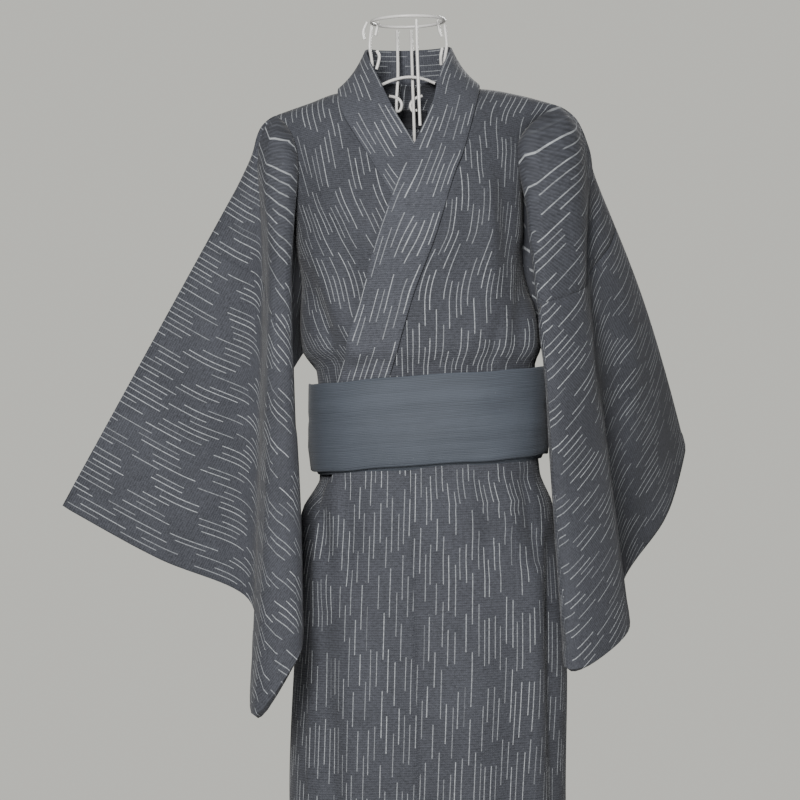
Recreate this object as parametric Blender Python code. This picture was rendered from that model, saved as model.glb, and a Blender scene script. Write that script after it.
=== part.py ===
"""A cotton yukata robe with its belt, worn by a white wire dress form.

Metres, +Z up. The wearer faces -Y, so the wearer's right is at -X and the wearer's left is at +X.
The origin is the middle of the underside of the form's base.

The robe is made of its own cut pieces. Every piece is a wall of one thickness on a surface that is
worked out from the sizes below: the trunk is a stack of rounded sections, and each sleeve is a sheet
that fans out of the shoulder tip along straight rulings.
"""
import math

import bmesh
import bpy
from mathutils import Vector

# ---- Driving dimensions ------------------------------------------------------------------------
CLOTH = 0.0020            # thickness of the cotton wall
BAND = 0.0030             # thickness of the folded collar band
BELT = 0.0020             # thickness of one turn of the belt
SEAM_GAP = 0.0004         # clear space kept between two sewn pieces
ARMHOLE_GAP = 0.0045      # the same to each side of the armhole seam, where it turns sharp corners
ARMHOLE_LEAST = 0.0012    # and where the sleeve hangs flat
LAYER_GAP = 0.0040        # half the space between a sleeve's front and back layers at its folds
LAYER_SWELL = 0.0075      # added to it in the middle of the sleeve

NECK_POINT_Z = 1.433      # height of the shoulder line beside the neck
SECTION_POWER = 2.4       # roundness of the trunk's sections, 2 is an ellipse
SLOPE_FADE = 0.20         # drop over which the shoulder's slope dies out
NECK_LIFT = 0.026         # how far the back rises to the nape
NECK_LIFT_FADE = 0.15     # drop over which that rise dies out
NECK_HALF_WIDTH = 0.085

ARMHOLE_S = 0.180         # armhole seam, out from the shoulder tip
CUFF_S = 0.540            # cuff edge, out from the shoulder tip
SLEEVE_DROP = 0.490       # bottom edge of the sleeve, along the warp
CUFF_OPENING = 0.260      # the cuff is open this far down
CAP_BULGE = 0.9           # how strongly the shoulder cap parts the two layers
CAP_REACH = 0.045         # how far down a ruling that parting is widest
FOLD_TURN = 10.0          # degrees over which the layers part beside the top fold
CAP_ROUND = 0.040         # the rulings leave the rounded cap this far from the tip
FOLD_BOW = 0.016          # how far the top fold at +X bows outwards halfway down

# name, drop from the neck point, half-width at -X, half-width at +X, depth in front, depth behind
SECTIONS = (
    ("shoulder", 0.000, 0.165, 0.182, 0.000, 0.000),
    ("yoke", 0.012, 0.165, 0.170, 0.028, 0.045),
    ("upper", 0.045, 0.160, 0.148, 0.056, 0.074),
    ("armpit", 0.090, 0.151, 0.139, 0.085, 0.088),
    ("chest", 0.145, 0.146, 0.135, 0.108, 0.095),
    ("ribs", 0.250, 0.142, 0.137, 0.113, 0.098),
    ("blouse", 0.318, 0.140, 0.152, 0.109, 0.097),
    ("waist", 0.340, 0.124, 0.144, 0.098, 0.090),
    ("belt_foot", 0.472, 0.124, 0.146, 0.098, 0.094),
    ("hip_top", 0.515, 0.147, 0.161, 0.108, 0.110),
    ("hip", 0.680, 0.160, 0.173, 0.118, 0.124),
    ("thigh", 0.870, 0.172, 0.167, 0.120, 0.126),
    ("knee", 1.130, 0.166, 0.163, 0.118, 0.122),
    ("hem", 1.333, 0.163, 0.161, 0.116, 0.120),
)

# The height of the shoulder line at each place across: x, height.
SHOULDER_LINE = ((-0.165, 1.408), (-0.125, 1.421), (-0.086, 1.433), (0.086, 1.433), (0.135, 1.424), (0.182, 1.410))

# Sleeve rulings: name, angle below the top fold in degrees, where the ruling leaves the rounded
# shoulder cap (x, y, z), and its far end (x, y, z).
RIGHT_RULINGS = (
    ("top_fold", 0.0, (-0.165, 0.000, 1.408), (-0.445, 0.012, 0.932)),
    ("panel_middle", 14.0, (-0.167, -0.008, 1.405), (-0.325, 0.006, 0.864)),
    ("valley", 27.0, (-0.170, -0.014, 1.400), (-0.209, 0.000, 0.809)),
    ("flank", 35.0, (-0.164, -0.021, 1.396), (-0.203, -0.095, 0.752)),
    ("lower_corner", 42.2, (-0.158, -0.027, 1.393), (-0.198, -0.177, 0.689)),
    ("crest", 47.0, (-0.159, -0.028, 1.388), (-0.152, -0.170, 0.757)),
    ("inner_flank", 59.0, (-0.160, -0.018, 1.388), (-0.160, -0.040, 0.837)),
    ("inner_corner", 69.4, (-0.161, -0.006, 1.390), (-0.170, 0.055, 0.889)),
)
LEFT_RULINGS = (
    ("top_fold", 0.0, (0.182, 0.000, 1.410), (0.356, 0.250, 0.981)),
    ("panel_middle", 12.0, (0.187, -0.004, 1.404), (0.306, 0.165, 0.885)),
    ("valley", 23.0, (0.192, -0.012, 1.396), (0.244, 0.092, 0.812)),
    ("roll", 33.0, (0.178, -0.032, 1.390), (0.241, -0.050, 0.762)),
    ("lower_corner", 42.2, (0.144, -0.042, 1.384), (0.171, -0.122, 0.727)),
    ("crest", 50.0, (0.149, -0.034, 1.382), (0.180, -0.004, 0.779)),
    ("inner_flank", 59.0, (0.153, -0.014, 1.382), (0.185, 0.090, 0.838)),
    ("inner_corner", 69.4, (0.158, 0.000, 1.382), (0.188, 0.150, 0.905)),
)
RIGHT_TIP = Vector((-0.165, 0.0, 1.408))
LEFT_TIP = Vector((0.182, 0.0, 1.410))

# Edge of each front under the middle of its collar, then down the free edge: drop, x.
RIGHT_FRONT_EDGE = ((0.0, -0.080), (0.012, -0.068), (0.030, -0.054), (0.080, -0.024), (0.135, 0.008),
                    (0.190, 0.036), (0.250, 0.059), (0.352, 0.088), (0.440, 0.105), (0.505, 0.118),
                    (0.680, 0.126), (1.333, 0.124))
LEFT_FRONT_EDGE = ((0.0, 0.080), (0.012, 0.066), (0.030, 0.052), (0.075, 0.036), (0.117, 0.016),
                   (0.190, -0.011), (0.250, -0.032), (0.352, -0.063), (0.440, -0.086), (0.505, -0.122),
                   (0.680, -0.137), (0.870, -0.146), (1.333, -0.136))
RIGHT_OVERLAP_SEAM_X = 0.030
LEFT_OVERLAP_SEAM_X = -0.013

# Collar band round the neck, from the nape down to the left chest: inner edge x, y, z, outer edge x, y, z.
LEFT_NECK_BAND = (
    ((0.034, 0.050, 1.491), (0.043, 0.062, 1.439)),
    ((0.052, 0.024, 1.489), (0.074, 0.034, 1.442)),
    ((0.047, -0.006, 1.474), (0.0845, 0.000, 1.439)),
    ((0.0365, -0.034, 1.447), (0.0835, -0.025, 1.428)),
    ((0.0275, -0.058, 1.412), (0.0765, -0.050, 1.402)),
)
NAPE_BAND = ((0.0, 0.058, 1.491), (0.0, 0.068, 1.438))
RIGHT_NECK_BAND = (
    ((-0.034, 0.050, 1.491), (-0.043, 0.062, 1.439)),
    ((-0.052, 0.024, 1.489), (-0.074, 0.034, 1.442)),
    ((-0.050, -0.006, 1.474), (-0.086, 0.000, 1.439)),
    ((-0.039, -0.034, 1.447), (-0.0875, -0.022, 1.430)),
    ((-0.024, -0.062, 1.410), (-0.081, -0.050, 1.402)),
)
# Collar band on the chest: drop, x of the inner edge, x of the outer edge.
LEFT_CHEST_BAND = ((0.075, 0.006, 0.065), (0.117, -0.0155, 0.0467), (0.190, -0.044, 0.0218),
                   (0.250, -0.0613, -0.0026), (0.300, -0.077, -0.019), (0.352, -0.091, -0.035),
                   (0.440, -0.112, -0.058))
RIGHT_CHEST_BAND = ((0.080, 0.007, -0.054), (0.135, 0.040, -0.0244), (0.190, 0.066, 0.006),
                    (0.250, 0.088, 0.030), (0.352, 0.112, 0.060), (0.440, 0.124, 0.078))

# How far each layer stands out from the trunk's surface at the front.
UNDER_PANEL_OUT = -0.0062
UNDER_BAND_OUT = -0.0022
OVER_PANEL_OUT = 0.0040
OVER_BAND_OUT = 0.0080
INNER_TURN_OUT = 0.0128
OUTER_TURN_OUT = 0.0158

BELT_TILT = math.tan(math.radians(2.6))
BELT_CENTRE_X = 0.012
INNER_TURN_Z = (0.971, 1.077)
OUTER_TURN_Z = (0.976, 1.081)

WIRE = 0.0020             # radius of the form's wire
FORM_INSET = 0.0150       # the form's ribs lie this far inside the trunk's surface
BASE_RADIUS = 0.160
BASE_HEIGHT = 0.012
POLE_RADIUS = 0.011

NECK_RING_RADIUS = 0.045
NECK_RING_Z = 1.520
POLE_TOP = 1.330

# The form's wires round the neck: name, points. They start a hair under the ring.
NECK_WIRES = (
    ("neck_wire_right", ((-0.045, 0.000, 1.5155), (-0.048, -0.002, 1.490), (-0.046, 0.0, 1.465),
                         (-0.060, 0.002, 1.425), (-0.075, 0.002, 1.405))),
    ("neck_wire_left", ((0.045, 0.000, 1.5155), (0.0470, 0.002, 1.490), (0.0445, 0.006, 1.465),
                        (0.060, 0.004, 1.425), (0.075, 0.002, 1.405))),
    ("neck_wire_front", ((0.010, -0.0439, 1.5155), (0.010, -0.044, 1.460), (0.011, -0.044, 1.386))),
    ("neck_wire_centre", ((0.004, 0.0448, 1.5155), (0.004, 0.034, 1.455), (0.004, 0.020, 1.374),
                          (0.002, 0.016, 1.3705), (-0.001, 0.015, 1.374))),
    ("neck_wire_back_right", ((-0.0135, 0.0429, 1.5155), (-0.014, 0.033, 1.460), (-0.017, 0.030, 1.413),
                              (-0.0125, 0.030, 1.414), (-0.0105, 0.030, 1.4225), (-0.015, 0.030, 1.429),
                              (-0.026, 0.028, 1.432))),
    ("neck_wire_back_left", ((0.016, 0.034, 1.432), (0.006, 0.036, 1.4285), (0.0005, 0.036, 1.421),
                             (0.0035, 0.036, 1.413), (0.0085, 0.036, 1.4145))),
    ("neck_arch", ((-0.034, 0.0230, 1.4460), (-0.018, 0.0250, 1.4520), (0.0, 0.0250, 1.4545),
                   (0.018, 0.0250, 1.4515), (0.032, 0.0230, 1.4455))),
    ("scroll_high_right_outer", ((-0.0505, 0.000, 1.5205), (-0.0555, 0.0, 1.509), (-0.0545, 0.0, 1.499))),
    ("scroll_high_right_inner", ((-0.0365, 0.000, 1.5205), (-0.0385, 0.0, 1.512), (-0.0405, 0.0, 1.5035))),
    ("scroll_high_left", ((0.0365, 0.000, 1.5205), (0.0385, 0.0, 1.508), (0.0415, 0.0, 1.500))),
    ("scroll_low_right", ((-0.0395, 0.000, 1.485), (-0.0365, 0.0, 1.478), (-0.0385, 0.0, 1.468),
                          (-0.0405, 0.0, 1.462))),
    ("scroll_low_left", ((0.0415, 0.000, 1.486), (0.0395, 0.0, 1.476), (0.0395, 0.004, 1.466))),
)
# Upright ribs: name, turn from the front, where the rib's top end stands.
RIBS = (
    ("rib_front_right", -24.0, (-0.040, -0.030, 1.405)),
    ("rib_front_left", 24.0, (0.045, -0.028, 1.405)),
    ("rib_side_front_right", -62.0, (-0.085, -0.010, 1.404)),
    ("rib_side_front_left", 62.0, (0.092, -0.010, 1.404)),
    ("rib_side_back_right", -118.0, (-0.085, 0.010, 1.404)),
    ("rib_side_back_left", 118.0, (0.092, 0.010, 1.404)),
    ("rib_back_right", -156.0, (-0.040, 0.036, 1.408)),
    ("rib_back_left", 156.0, (0.045, 0.036, 1.408)),
)
# Level hoops inside the ribs: name, height.
HOOP_POINTS = 28
HOOP_CLEAR = 0.0022       # between a hoop's flats and the ribs that pass outside it
HOOPS = (("chest_hoop", 1.290), ("waist_hoop", 1.030), ("hip_hoop", 0.760))

# The belt's knot on the back, flat pieces: name, corners (x, height), how far out.
KNOT_PIECES = (
    ("belt_knot_fold", ((-0.052, 0.962), (0.046, 0.976), (0.054, 1.092), (-0.044, 1.082)), 0.0195),
    ("belt_knot_tail_up", ((-0.012, 1.020), (0.048, 1.004), (0.098, 1.118), (0.036, 1.142)), 0.0230),
    ("belt_knot_tail_across", ((-0.098, 1.016), (-0.006, 0.966), (0.022, 1.026), (-0.074, 1.078)), 0.0265),
)

# The blank label inside the back of the neck: corners (x, height before the nape's rise).
LABEL_CORNERS = ((-0.0170, 1.3790), (0.0210, 1.3790), (0.0210, 1.3985), (-0.0170, 1.3985))
LABEL_OUT = -0.0034
LABEL_THICKNESS = 0.0012

COTTON = ("cotton", (0.078, 0.085, 0.098), 0.85, 0.0)
BAND_COTTON = ("band_cotton", (0.070, 0.077, 0.090), 0.85, 0.0)
BELT_CLOTH = ("belt_cloth", (0.095, 0.112, 0.135), 0.8, 0.0)
LABEL_CLOTH = ("label_cloth", (0.02, 0.02, 0.024), 0.7, 0.0)
WHITE_PAINT = ("white_paint", (0.82, 0.82, 0.80), 0.35, 0.0)


# ---- Small tools ---------------------------------------------------------------------------------
def clear_scene():
    for thing in list(bpy.data.objects):
        bpy.data.objects.remove(thing, do_unlink=True)


def material(finish):
    """One Principled material from a name, a colour, a roughness and a metallic value."""
    name, colour, roughness, metallic = finish
    made = bpy.data.materials.get(name) or bpy.data.materials.new(name)
    made.use_nodes = True
    shader = made.node_tree.nodes["Principled BSDF"]
    shader.inputs["Base Color"].default_value = (*colour, 1.0)
    shader.inputs["Roughness"].default_value = roughness
    shader.inputs["Metallic"].default_value = metallic
    return made


def add_object(name, mesh, finish):
    piece = bpy.data.objects.new(name, mesh)
    piece.data.materials.append(material((name + "_" + finish[0], *finish[1:])))
    bpy.context.scene.collection.objects.link(piece)
    return piece


def through(knots, values, place):
    """A smooth curve through the values at rising knots, held level beyond both ends."""
    if place <= knots[0]:
        return values[0]
    if place >= knots[-1]:
        return values[-1]
    span = max(i for i in range(len(knots) - 1) if knots[i] <= place)
    width = knots[span + 1] - knots[span]
    share = (place - knots[span]) / width

    def slope(i):
        before = max(i - 1, 0)
        after = min(i + 1, len(knots) - 1)
        return (values[after] - values[before]) * (width / (knots[after] - knots[before]))

    square = share * share
    cube = square * share
    return (values[span] * (2 * cube - 3 * square + 1) + slope(span) * (cube - 2 * square + share)
            + values[span + 1] * (3 * square - 2 * cube) + slope(span + 1) * (cube - square))


def linear(table, place):
    """The value of a table of (place, value) rows, straight between the rows."""
    if place <= table[0][0]:
        return table[0][1]
    for (low, first), (high, second) in zip(table, table[1:]):
        if place <= high:
            return first + (second - first) * (place - low) / (high - low)
    return table[-1][1]


def smooth(low, high, value):
    """0 at low, 1 at high, and eased between them."""
    share = min(1.0, max(0.0, (value - low) / (high - low)))
    return share * share * (3 - 2 * share)


def wall(name, points, faces, thickness, finish):
    """Give a sheet its thickness: half to each side, closed round every free edge."""
    bm = bmesh.new()
    corners = [bm.verts.new(point) for point in points]
    for face in faces:
        ring = []
        for i in face:
            if corners[i] not in ring:
                ring.append(corners[i])
        if len(ring) > 2:
            bm.faces.new(ring)
    bmesh.ops.remove_doubles(bm, verts=bm.verts, dist=0.00005)
    bmesh.ops.dissolve_degenerate(bm, edges=bm.edges, dist=0.00005)
    loose = [vert for vert in bm.verts if not vert.link_faces]
    bmesh.ops.delete(bm, geom=loose, context="VERTS")
    bmesh.ops.triangulate(bm, faces=bm.faces)
    bm.normal_update()
    bm.verts.index_update()
    half = thickness / 2
    outer = [vert.co + vert.normal * half for vert in bm.verts]
    inner = [vert.co - vert.normal * half for vert in bm.verts]
    count = len(outer)
    shell = [[v.index for v in face.verts] for face in bm.faces]
    solid = list(shell) + [[count + i for i in reversed(face)] for face in shell]
    for edge in bm.edges:
        if len(edge.link_faces) == 1:
            loop = edge.link_loops[0]
            start = loop.vert.index
            end = loop.link_loop_next.vert.index
            solid.append([end, start, count + start])
            solid.append([end, count + start, count + end])
    bm.free()
    mesh = bpy.data.meshes.new(name)
    mesh.from_pydata([tuple(p) for p in outer + inner], [], solid)
    mesh.update()
    return add_object(name, mesh, finish)


class Sheet:
    """Points and faces of one sheet, gathered grid by grid."""

    def __init__(self):
        self.points = []
        self.faces = []

    def grid(self, rows, flip=False):
        """Add a grid of points; a face's front is the side the rows and columns turn to."""
        start = len(self.points)
        width = len(rows[0])
        for row in rows:
            self.points.extend(row)
        for i in range(len(rows) - 1):
            for j in range(width - 1):
                a = start + i * width + j
                ring = [a, a + 1, a + width + 1, a + width]
                self.faces.append(ring[::-1] if flip else ring)

    def build(self, name, thickness, finish):
        return wall(name, self.points, self.faces, thickness, finish)


# ---- The trunk's surface ---------------------------------------------------------------------------
ROOT_DROPS = [math.sqrt(row[1]) for row in SECTIONS]


def section(drop):
    """Half-widths at -X and +X and depths in front and behind at one drop."""
    place = math.sqrt(max(0.0, drop))
    return [through(ROOT_DROPS, [row[column] for row in SECTIONS], place) for column in (2, 3, 4, 5)]


def shoulder_height(x):
    return linear(SHOULDER_LINE, x)


def turn_of(drop, x):
    """The angle from straight ahead, positive towards +X, at which a section reaches x."""
    right, left, _, _ = section(drop)
    centre = (left - right) / 2
    share = max(-1.0, min(1.0, (x - centre) / ((left + right) / 2)))
    return math.degrees(math.asin(math.copysign(abs(share) ** (SECTION_POWER / 2), share)))


def trunk_point(drop, turn):
    """The trunk's surface: drop below the shoulder line, turn in degrees from the front."""
    right, left, front, behind = section(drop)
    side = math.sin(math.radians(turn))
    ahead = math.cos(math.radians(turn))
    across = math.copysign(abs(side) ** (2 / SECTION_POWER), side)
    along = abs(ahead) ** (2 / SECTION_POWER)
    x = (left - right) / 2 + across * (left + right) / 2
    y = -front * along if ahead > 0 else behind * along
    slope = (NECK_POINT_Z - shoulder_height(x)) * max(0.0, 1 - drop / SLOPE_FADE)
    lift = 0.0
    if ahead < 0:
        lift = NECK_LIFT * max(0.0, 1 - (x / NECK_HALF_WIDTH) ** 2) * max(0.0, 1 - drop / NECK_LIFT_FADE)
    return Vector((x, y, NECK_POINT_Z - drop - slope + lift))


def trunk(drop, turn, out=0.0):
    """The same surface moved out along its own normal."""
    point = trunk_point(drop, turn)
    if out == 0.0:
        return point
    step = 0.004 + 0.03 * drop
    low = max(drop - step, 0.0)
    down = trunk_point(drop + step, turn) - trunk_point(low, turn)
    around = trunk_point(max(drop, 0.004), turn + 1.5) - trunk_point(max(drop, 0.004), turn - 1.5)
    normal = down.cross(around).normalized()
    return point + normal * out


def panel_out(drop, turn, out):
    """A front's layer offset: full over the front, none at the side seam and at the shoulder."""
    return out * smooth(86, 58, abs(turn)) * smooth(0.0, 0.05, drop)


# ---- A sleeve's fan of rulings -----------------------------------------------------------------------
def reach_of(angle):
    """Length of a ruling: as far as the cuff edge or the bottom edge, whichever comes first."""
    lean = math.radians(angle)
    bottom = SLEEVE_DROP / max(math.sin(lean), 0.001)
    return min(CUFF_S / math.cos(lean), bottom)


def armhole_gap(angle):
    """Clear space to each side of the armhole seam: wide only where the folds turn sharply."""
    return ARMHOLE_LEAST + (ARMHOLE_GAP - ARMHOLE_LEAST) * smooth(18.0, 34.0, angle)


class Fan:
    """The folded sheet that hangs from one shoulder tip. side is -1 at -X and +1 at +X."""

    def __init__(self, tip, rulings, side, bow):
        self.tip = tip
        self.bow = bow
        self.side = side
        self.angles = [row[1] for row in rulings]
        self.starts = [Vector(row[2]) for row in rulings]
        self.ends = [Vector(row[3]) for row in rulings]

    def middle(self, angle, distance):
        """Straight along the ruling, and rounded up to the shoulder tip over the cap."""
        start = through(self.angles, self.starts, angle)
        end = through(self.angles, self.ends, angle)
        over_cap = max(0.0, 1 - distance / CAP_ROUND) ** 2
        share = distance / reach_of(angle)
        bow = self.bow * math.sin(math.pi * min(1.0, share)) * smooth(24.0, 0.0, angle)
        return start.lerp(end, share) + (self.tip - start) * over_cap + Vector((bow, 0.0, 0.0))

    def normal(self, angle, distance):
        """Towards the face that a viewer in front sees on the flat part."""
        near = max(distance, 0.02)
        low = max(angle - 1.0, 0.0)
        high = min(angle + 1.0, self.angles[-1])
        across = self.middle(high, near) - self.middle(low, near)
        along = self.middle(angle, near) - self.tip
        return (across.cross(along) * self.side).normalized()

    def half_gap(self, angle, distance):
        cap = CAP_BULGE * distance * math.exp(-distance / CAP_REACH)
        swell = LAYER_SWELL * smooth(0.08, 0.30, distance) * smooth(35.0, 18.0, angle)
        steady = LAYER_GAP * (1 - math.exp(-distance / 0.010)) + swell
        return (cap + steady) * math.sqrt(min(1.0, angle / FOLD_TURN))

    def layer(self, angle, distance, face):
        """A point of the front layer (face +1) or the back layer (face -1)."""
        gap = self.half_gap(angle, distance) * face
        return self.middle(angle, distance) + self.normal(angle, distance) * gap


RIGHT_FAN = Fan(RIGHT_TIP, RIGHT_RULINGS, -1, 0.0)
LEFT_FAN = Fan(LEFT_TIP, LEFT_RULINGS, 1, FOLD_BOW)

# ---- Cloth pieces --------------------------------------------------------------------------------------
FAN_ANGLES = (0.0, 2.0, 7.0, 14.0, 20.5, 25.7, 28.5, 34.0, 39.0, 42.2, 44.5, 47.0, 50.0, 54.5)
SLEEVE_ANGLES = FAN_ANGLES + (59.0, 64.0, 68.6)
UPPER_DROPS = (0.0, 0.012, 0.030, 0.055, 0.090, 0.135, 0.190, 0.250, 0.290, 0.318)
LOWER_DROPS = (0.318, 0.340, 0.395, 0.440, 0.472, 0.492, 0.515, 0.590, 0.680, 0.870, 1.130, 1.333)
FRONT_COLUMNS = 8
BACK_COLUMNS = 7
SIDE_OPEN_TURN = 87.0     # front and back stand apart at the armhole
SIDE_SEAM_TURN = 89.9     # and meet at the side seam


def side_turn(drop):
    """Angle of the panel's side edge: apart under the arm, meeting below the armhole."""
    return SIDE_OPEN_TURN + (SIDE_SEAM_TURN - SIDE_OPEN_TURN) * smooth(0.20, 0.318, drop)


def front_edge_x(table, seam_x, side, drop):
    """Where a body panel's front ends: under its collar, and then at the overlap seam."""
    edge = linear(table, drop)
    return max(edge, seam_x) if side > 0 else min(edge, seam_x)


def body_panel(name, side, fan, edge_table, seam_x, out):
    """One length of cloth: front, shoulder and back, with the stretch that hangs out to the armhole."""
    sheet = Sheet()
    flip = side < 0

    def front_row(drop):
        start = side * side_turn(drop)
        stop = turn_of(drop, front_edge_x(edge_table, seam_x, side, drop))
        turns = [start + (stop - start) * j / FRONT_COLUMNS for j in range(FRONT_COLUMNS + 1)]
        return [trunk(drop, turn, panel_out(drop, turn, out)) for turn in turns]

    def back_row(drop):
        start = side * (180.0 - side_turn(drop))
        stop = side * 180.0
        if drop == 0.0:
            stop = side * (180.0 - abs(turn_of(drop, side * (NECK_HALF_WIDTH - 0.005))))
        turns = [start + (stop - start) * j / BACK_COLUMNS for j in range(BACK_COLUMNS + 1)]
        row = [trunk(drop, turn) for turn in turns]
        if drop > 0.0:
            row[-1].x += side * (SEAM_GAP / 2)
        return row

    def fan_row(share, face):
        row = []
        for angle in reversed(FAN_ANGLES):
            seam = (ARMHOLE_S - armhole_gap(angle)) / math.cos(math.radians(angle))
            row.append(fan.layer(angle, seam * share, face))
        return row

    last = len(UPPER_DROPS) - 1
    shares = [drop / UPPER_DROPS[last] for drop in UPPER_DROPS]
    front = [front_row(drop)[::-1] + fan_row(share, 1) for drop, share in zip(UPPER_DROPS, shares)]
    back = [back_row(drop)[::-1] + fan_row(share, -1) for drop, share in zip(UPPER_DROPS, shares)]
    sheet.grid(front, not flip)
    sheet.grid(back, flip)
    sheet.grid([front_row(drop)[::-1] for drop in LOWER_DROPS], not flip)
    sheet.grid([back_row(drop)[::-1] for drop in LOWER_DROPS], flip)
    return sheet.build(name, CLOTH, COTTON)


def overlap_panel(name, side, edge_table, seam_x, out, first_drop):
    """The half-width piece from the body panel's seam to the front edge."""
    sheet = Sheet()
    drops = [first_drop] + [drop for drop in UPPER_DROPS if drop > first_drop + 0.01] + list(LOWER_DROPS[1:])
    rows = []
    for drop in drops:
        start = turn_of(drop, seam_x - side * SEAM_GAP)
        stop = turn_of(drop, linear(edge_table, drop))
        columns = 5
        turns = [start + (stop - start) * j / columns for j in range(columns + 1)]
        rows.append([trunk(drop, turn, panel_out(drop, turn, out)) for turn in turns])
    sheet.grid(rows, side < 0)
    return sheet.build(name, CLOTH, COTTON)


SLEEVE_SHARES = (0.0, 0.2, 0.4, 0.6, 0.8, 0.93, 1.0)
SEAM_TURN = 0.004         # the two layers come together over this much of their length


def sleeve(name, fan):
    """Both layers of one sleeve, joined at the top fold, the lower cuff and the bottom."""
    sheet = Sheet()
    flip = fan.side < 0
    closes_from = math.degrees(math.atan2(CUFF_OPENING, CUFF_S))

    def layer_rows(face):
        rows = []
        for share in SLEEVE_SHARES:
            row = []
            for angle in SLEEVE_ANGLES:
                near = (ARMHOLE_S + armhole_gap(angle)) / math.cos(math.radians(angle))
                far = reach_of(angle) - SEAM_TURN
                row.append(fan.layer(angle, near + (far - near) * share, face))
            rows.append(row)
        return rows

    front = layer_rows(1)
    back = layer_rows(-1)
    sheet.grid(front, flip)
    sheet.grid(back, not flip)
    closed = [j for j, angle in enumerate(SLEEVE_ANGLES) if angle >= closes_from - 0.1]
    joint = [fan.middle(SLEEVE_ANGLES[j], reach_of(SLEEVE_ANGLES[j])) for j in closed]
    sheet.grid([[front[-1][j] for j in closed], joint, [back[-1][j] for j in closed]], flip)
    return sheet.build(name, CLOTH, COTTON)


def collar_band():
    """One long band: down the left front, round the neck, and down the right front underneath."""
    def on_chest(table, out):
        """Rows at the same drops as the panels' own rows, so that their flats lie parallel."""
        rows = []
        for drop in UPPER_DROPS[4:] + LOWER_DROPS[1:4]:
            inner = turn_of(drop, linear([(row[0], row[1]) for row in table], drop))
            outer = turn_of(drop, linear([(row[0], row[2]) for row in table], drop))
            rows.append([trunk(drop, inner + (outer - inner) * j / 3, out) for j in range(4)])
        return rows

    def at_neck(row):
        inner, outer = Vector(row[0]), Vector(row[1])
        return [inner.lerp(outer, j / 3) for j in range(4)]

    rows = on_chest(LEFT_CHEST_BAND, OVER_BAND_OUT)[::-1]
    rows += [at_neck(row) for row in reversed(LEFT_NECK_BAND)]
    rows.append(at_neck(NAPE_BAND))
    rows += [at_neck(row) for row in RIGHT_NECK_BAND]
    rows += on_chest(RIGHT_CHEST_BAND, UNDER_BAND_OUT)
    sheet = Sheet()
    sheet.grid(rows)
    return sheet.build("collar_band", BAND, BAND_COTTON)


def belt_point(height, turn, out):
    """A point of the belt, which is tilted a little about the front-to-back axis."""
    level = trunk(NECK_POINT_Z - height, turn, out)
    return Vector((level.x, level.y, height + (level.x - BELT_CENTRE_X) * BELT_TILT))


def belt_turn(name, heights, out, start, stop):
    """One turn of the belt, a flat band between two heights. It runs on one waist section."""
    steps = 48
    rows = []
    middle = (heights[0] + heights[1]) / 2
    for height in heights:
        row = []
        for j in range(steps + 1):
            turn = start + (stop - start) * j / steps
            point = belt_point(middle, turn, out)
            row.append(Vector((point.x, point.y, point.z + height - middle)))
        rows.append(row)
    sheet = Sheet()
    sheet.grid(rows)
    return sheet.build(name, BELT, BELT_CLOTH)


def patch(name, corners, out, thickness, finish):
    """A flat-cut piece laid on the back: its corners (x, height) in order round the piece."""
    low_right, low_left, high_left, high_right = [Vector((x, height, 0.0)) for x, height in corners]
    steps = 6
    rows = []
    for i in range(steps + 1):
        start = low_right.lerp(high_right, i / steps)
        stop = low_left.lerp(high_left, i / steps)
        row = []
        for j in range(steps + 1):
            x, height, _ = start.lerp(stop, j / steps)
            drop = NECK_POINT_Z - height
            side_on = turn_of(drop, x)
            row.append(trunk(drop, math.copysign(180.0, side_on) - side_on, out))
        rows.append(row)
    sheet = Sheet()
    sheet.grid(rows)
    return sheet.build(name, thickness, finish)


def wire(name, points, radius=WIRE, closed=False, sides=2):
    """A round wire through its points."""
    curve = bpy.data.curves.new(name, "CURVE")
    curve.dimensions = "3D"
    curve.bevel_depth = radius
    curve.bevel_resolution = sides
    curve.use_fill_caps = True
    line = curve.splines.new("POLY")
    line.points.add(len(points) - 1)
    for spot, point in zip(line.points, points):
        spot.co = (*point, 1.0)
    line.use_cyclic_u = closed
    return add_object(name, curve, WHITE_PAINT)


def bend(points, steps=3):
    """A smooth line through a few hand-placed points."""
    knots = [0.0]
    for before, after in zip(points, points[1:]):
        knots.append(knots[-1] + (Vector(after) - Vector(before)).length)
    values = [Vector(point) for point in points]
    count = steps * (len(points) - 1)
    return [through(knots, values, knots[-1] * i / count) for i in range(count + 1)]


def disc(name, radius, low, high, bevel, steps=40):
    """A flat round plate or rod with a small bevel round its top edge."""
    bm = bmesh.new()
    rings = []
    for ring_radius, height in ((radius, low), (radius, high - bevel), (radius - bevel, high)):
        rings.append([bm.verts.new((ring_radius * math.cos(2 * math.pi * i / steps),
                                    ring_radius * math.sin(2 * math.pi * i / steps), height))
                      for i in range(steps)])
    for lower, upper in zip(rings, rings[1:]):
        for i in range(steps):
            bm.faces.new((lower[i], lower[(i + 1) % steps], upper[(i + 1) % steps], upper[i]))
    bm.faces.new(rings[0][::-1])
    bm.faces.new(rings[-1])
    mesh = bpy.data.meshes.new(name)
    bm.to_mesh(mesh)
    bm.free()
    return add_object(name, mesh, WHITE_PAINT)


def form_neck():
    """The ring at the top and the bent wires that show inside the neck."""
    around = [2 * math.pi * i / 28 for i in range(28)]
    ring = [(NECK_RING_RADIUS * math.cos(a), NECK_RING_RADIUS * math.sin(a), NECK_RING_Z) for a in around]
    wire("neck_ring", ring, closed=True)
    for name, points in NECK_WIRES:
        wire(name, bend(points), sides=1)


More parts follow.
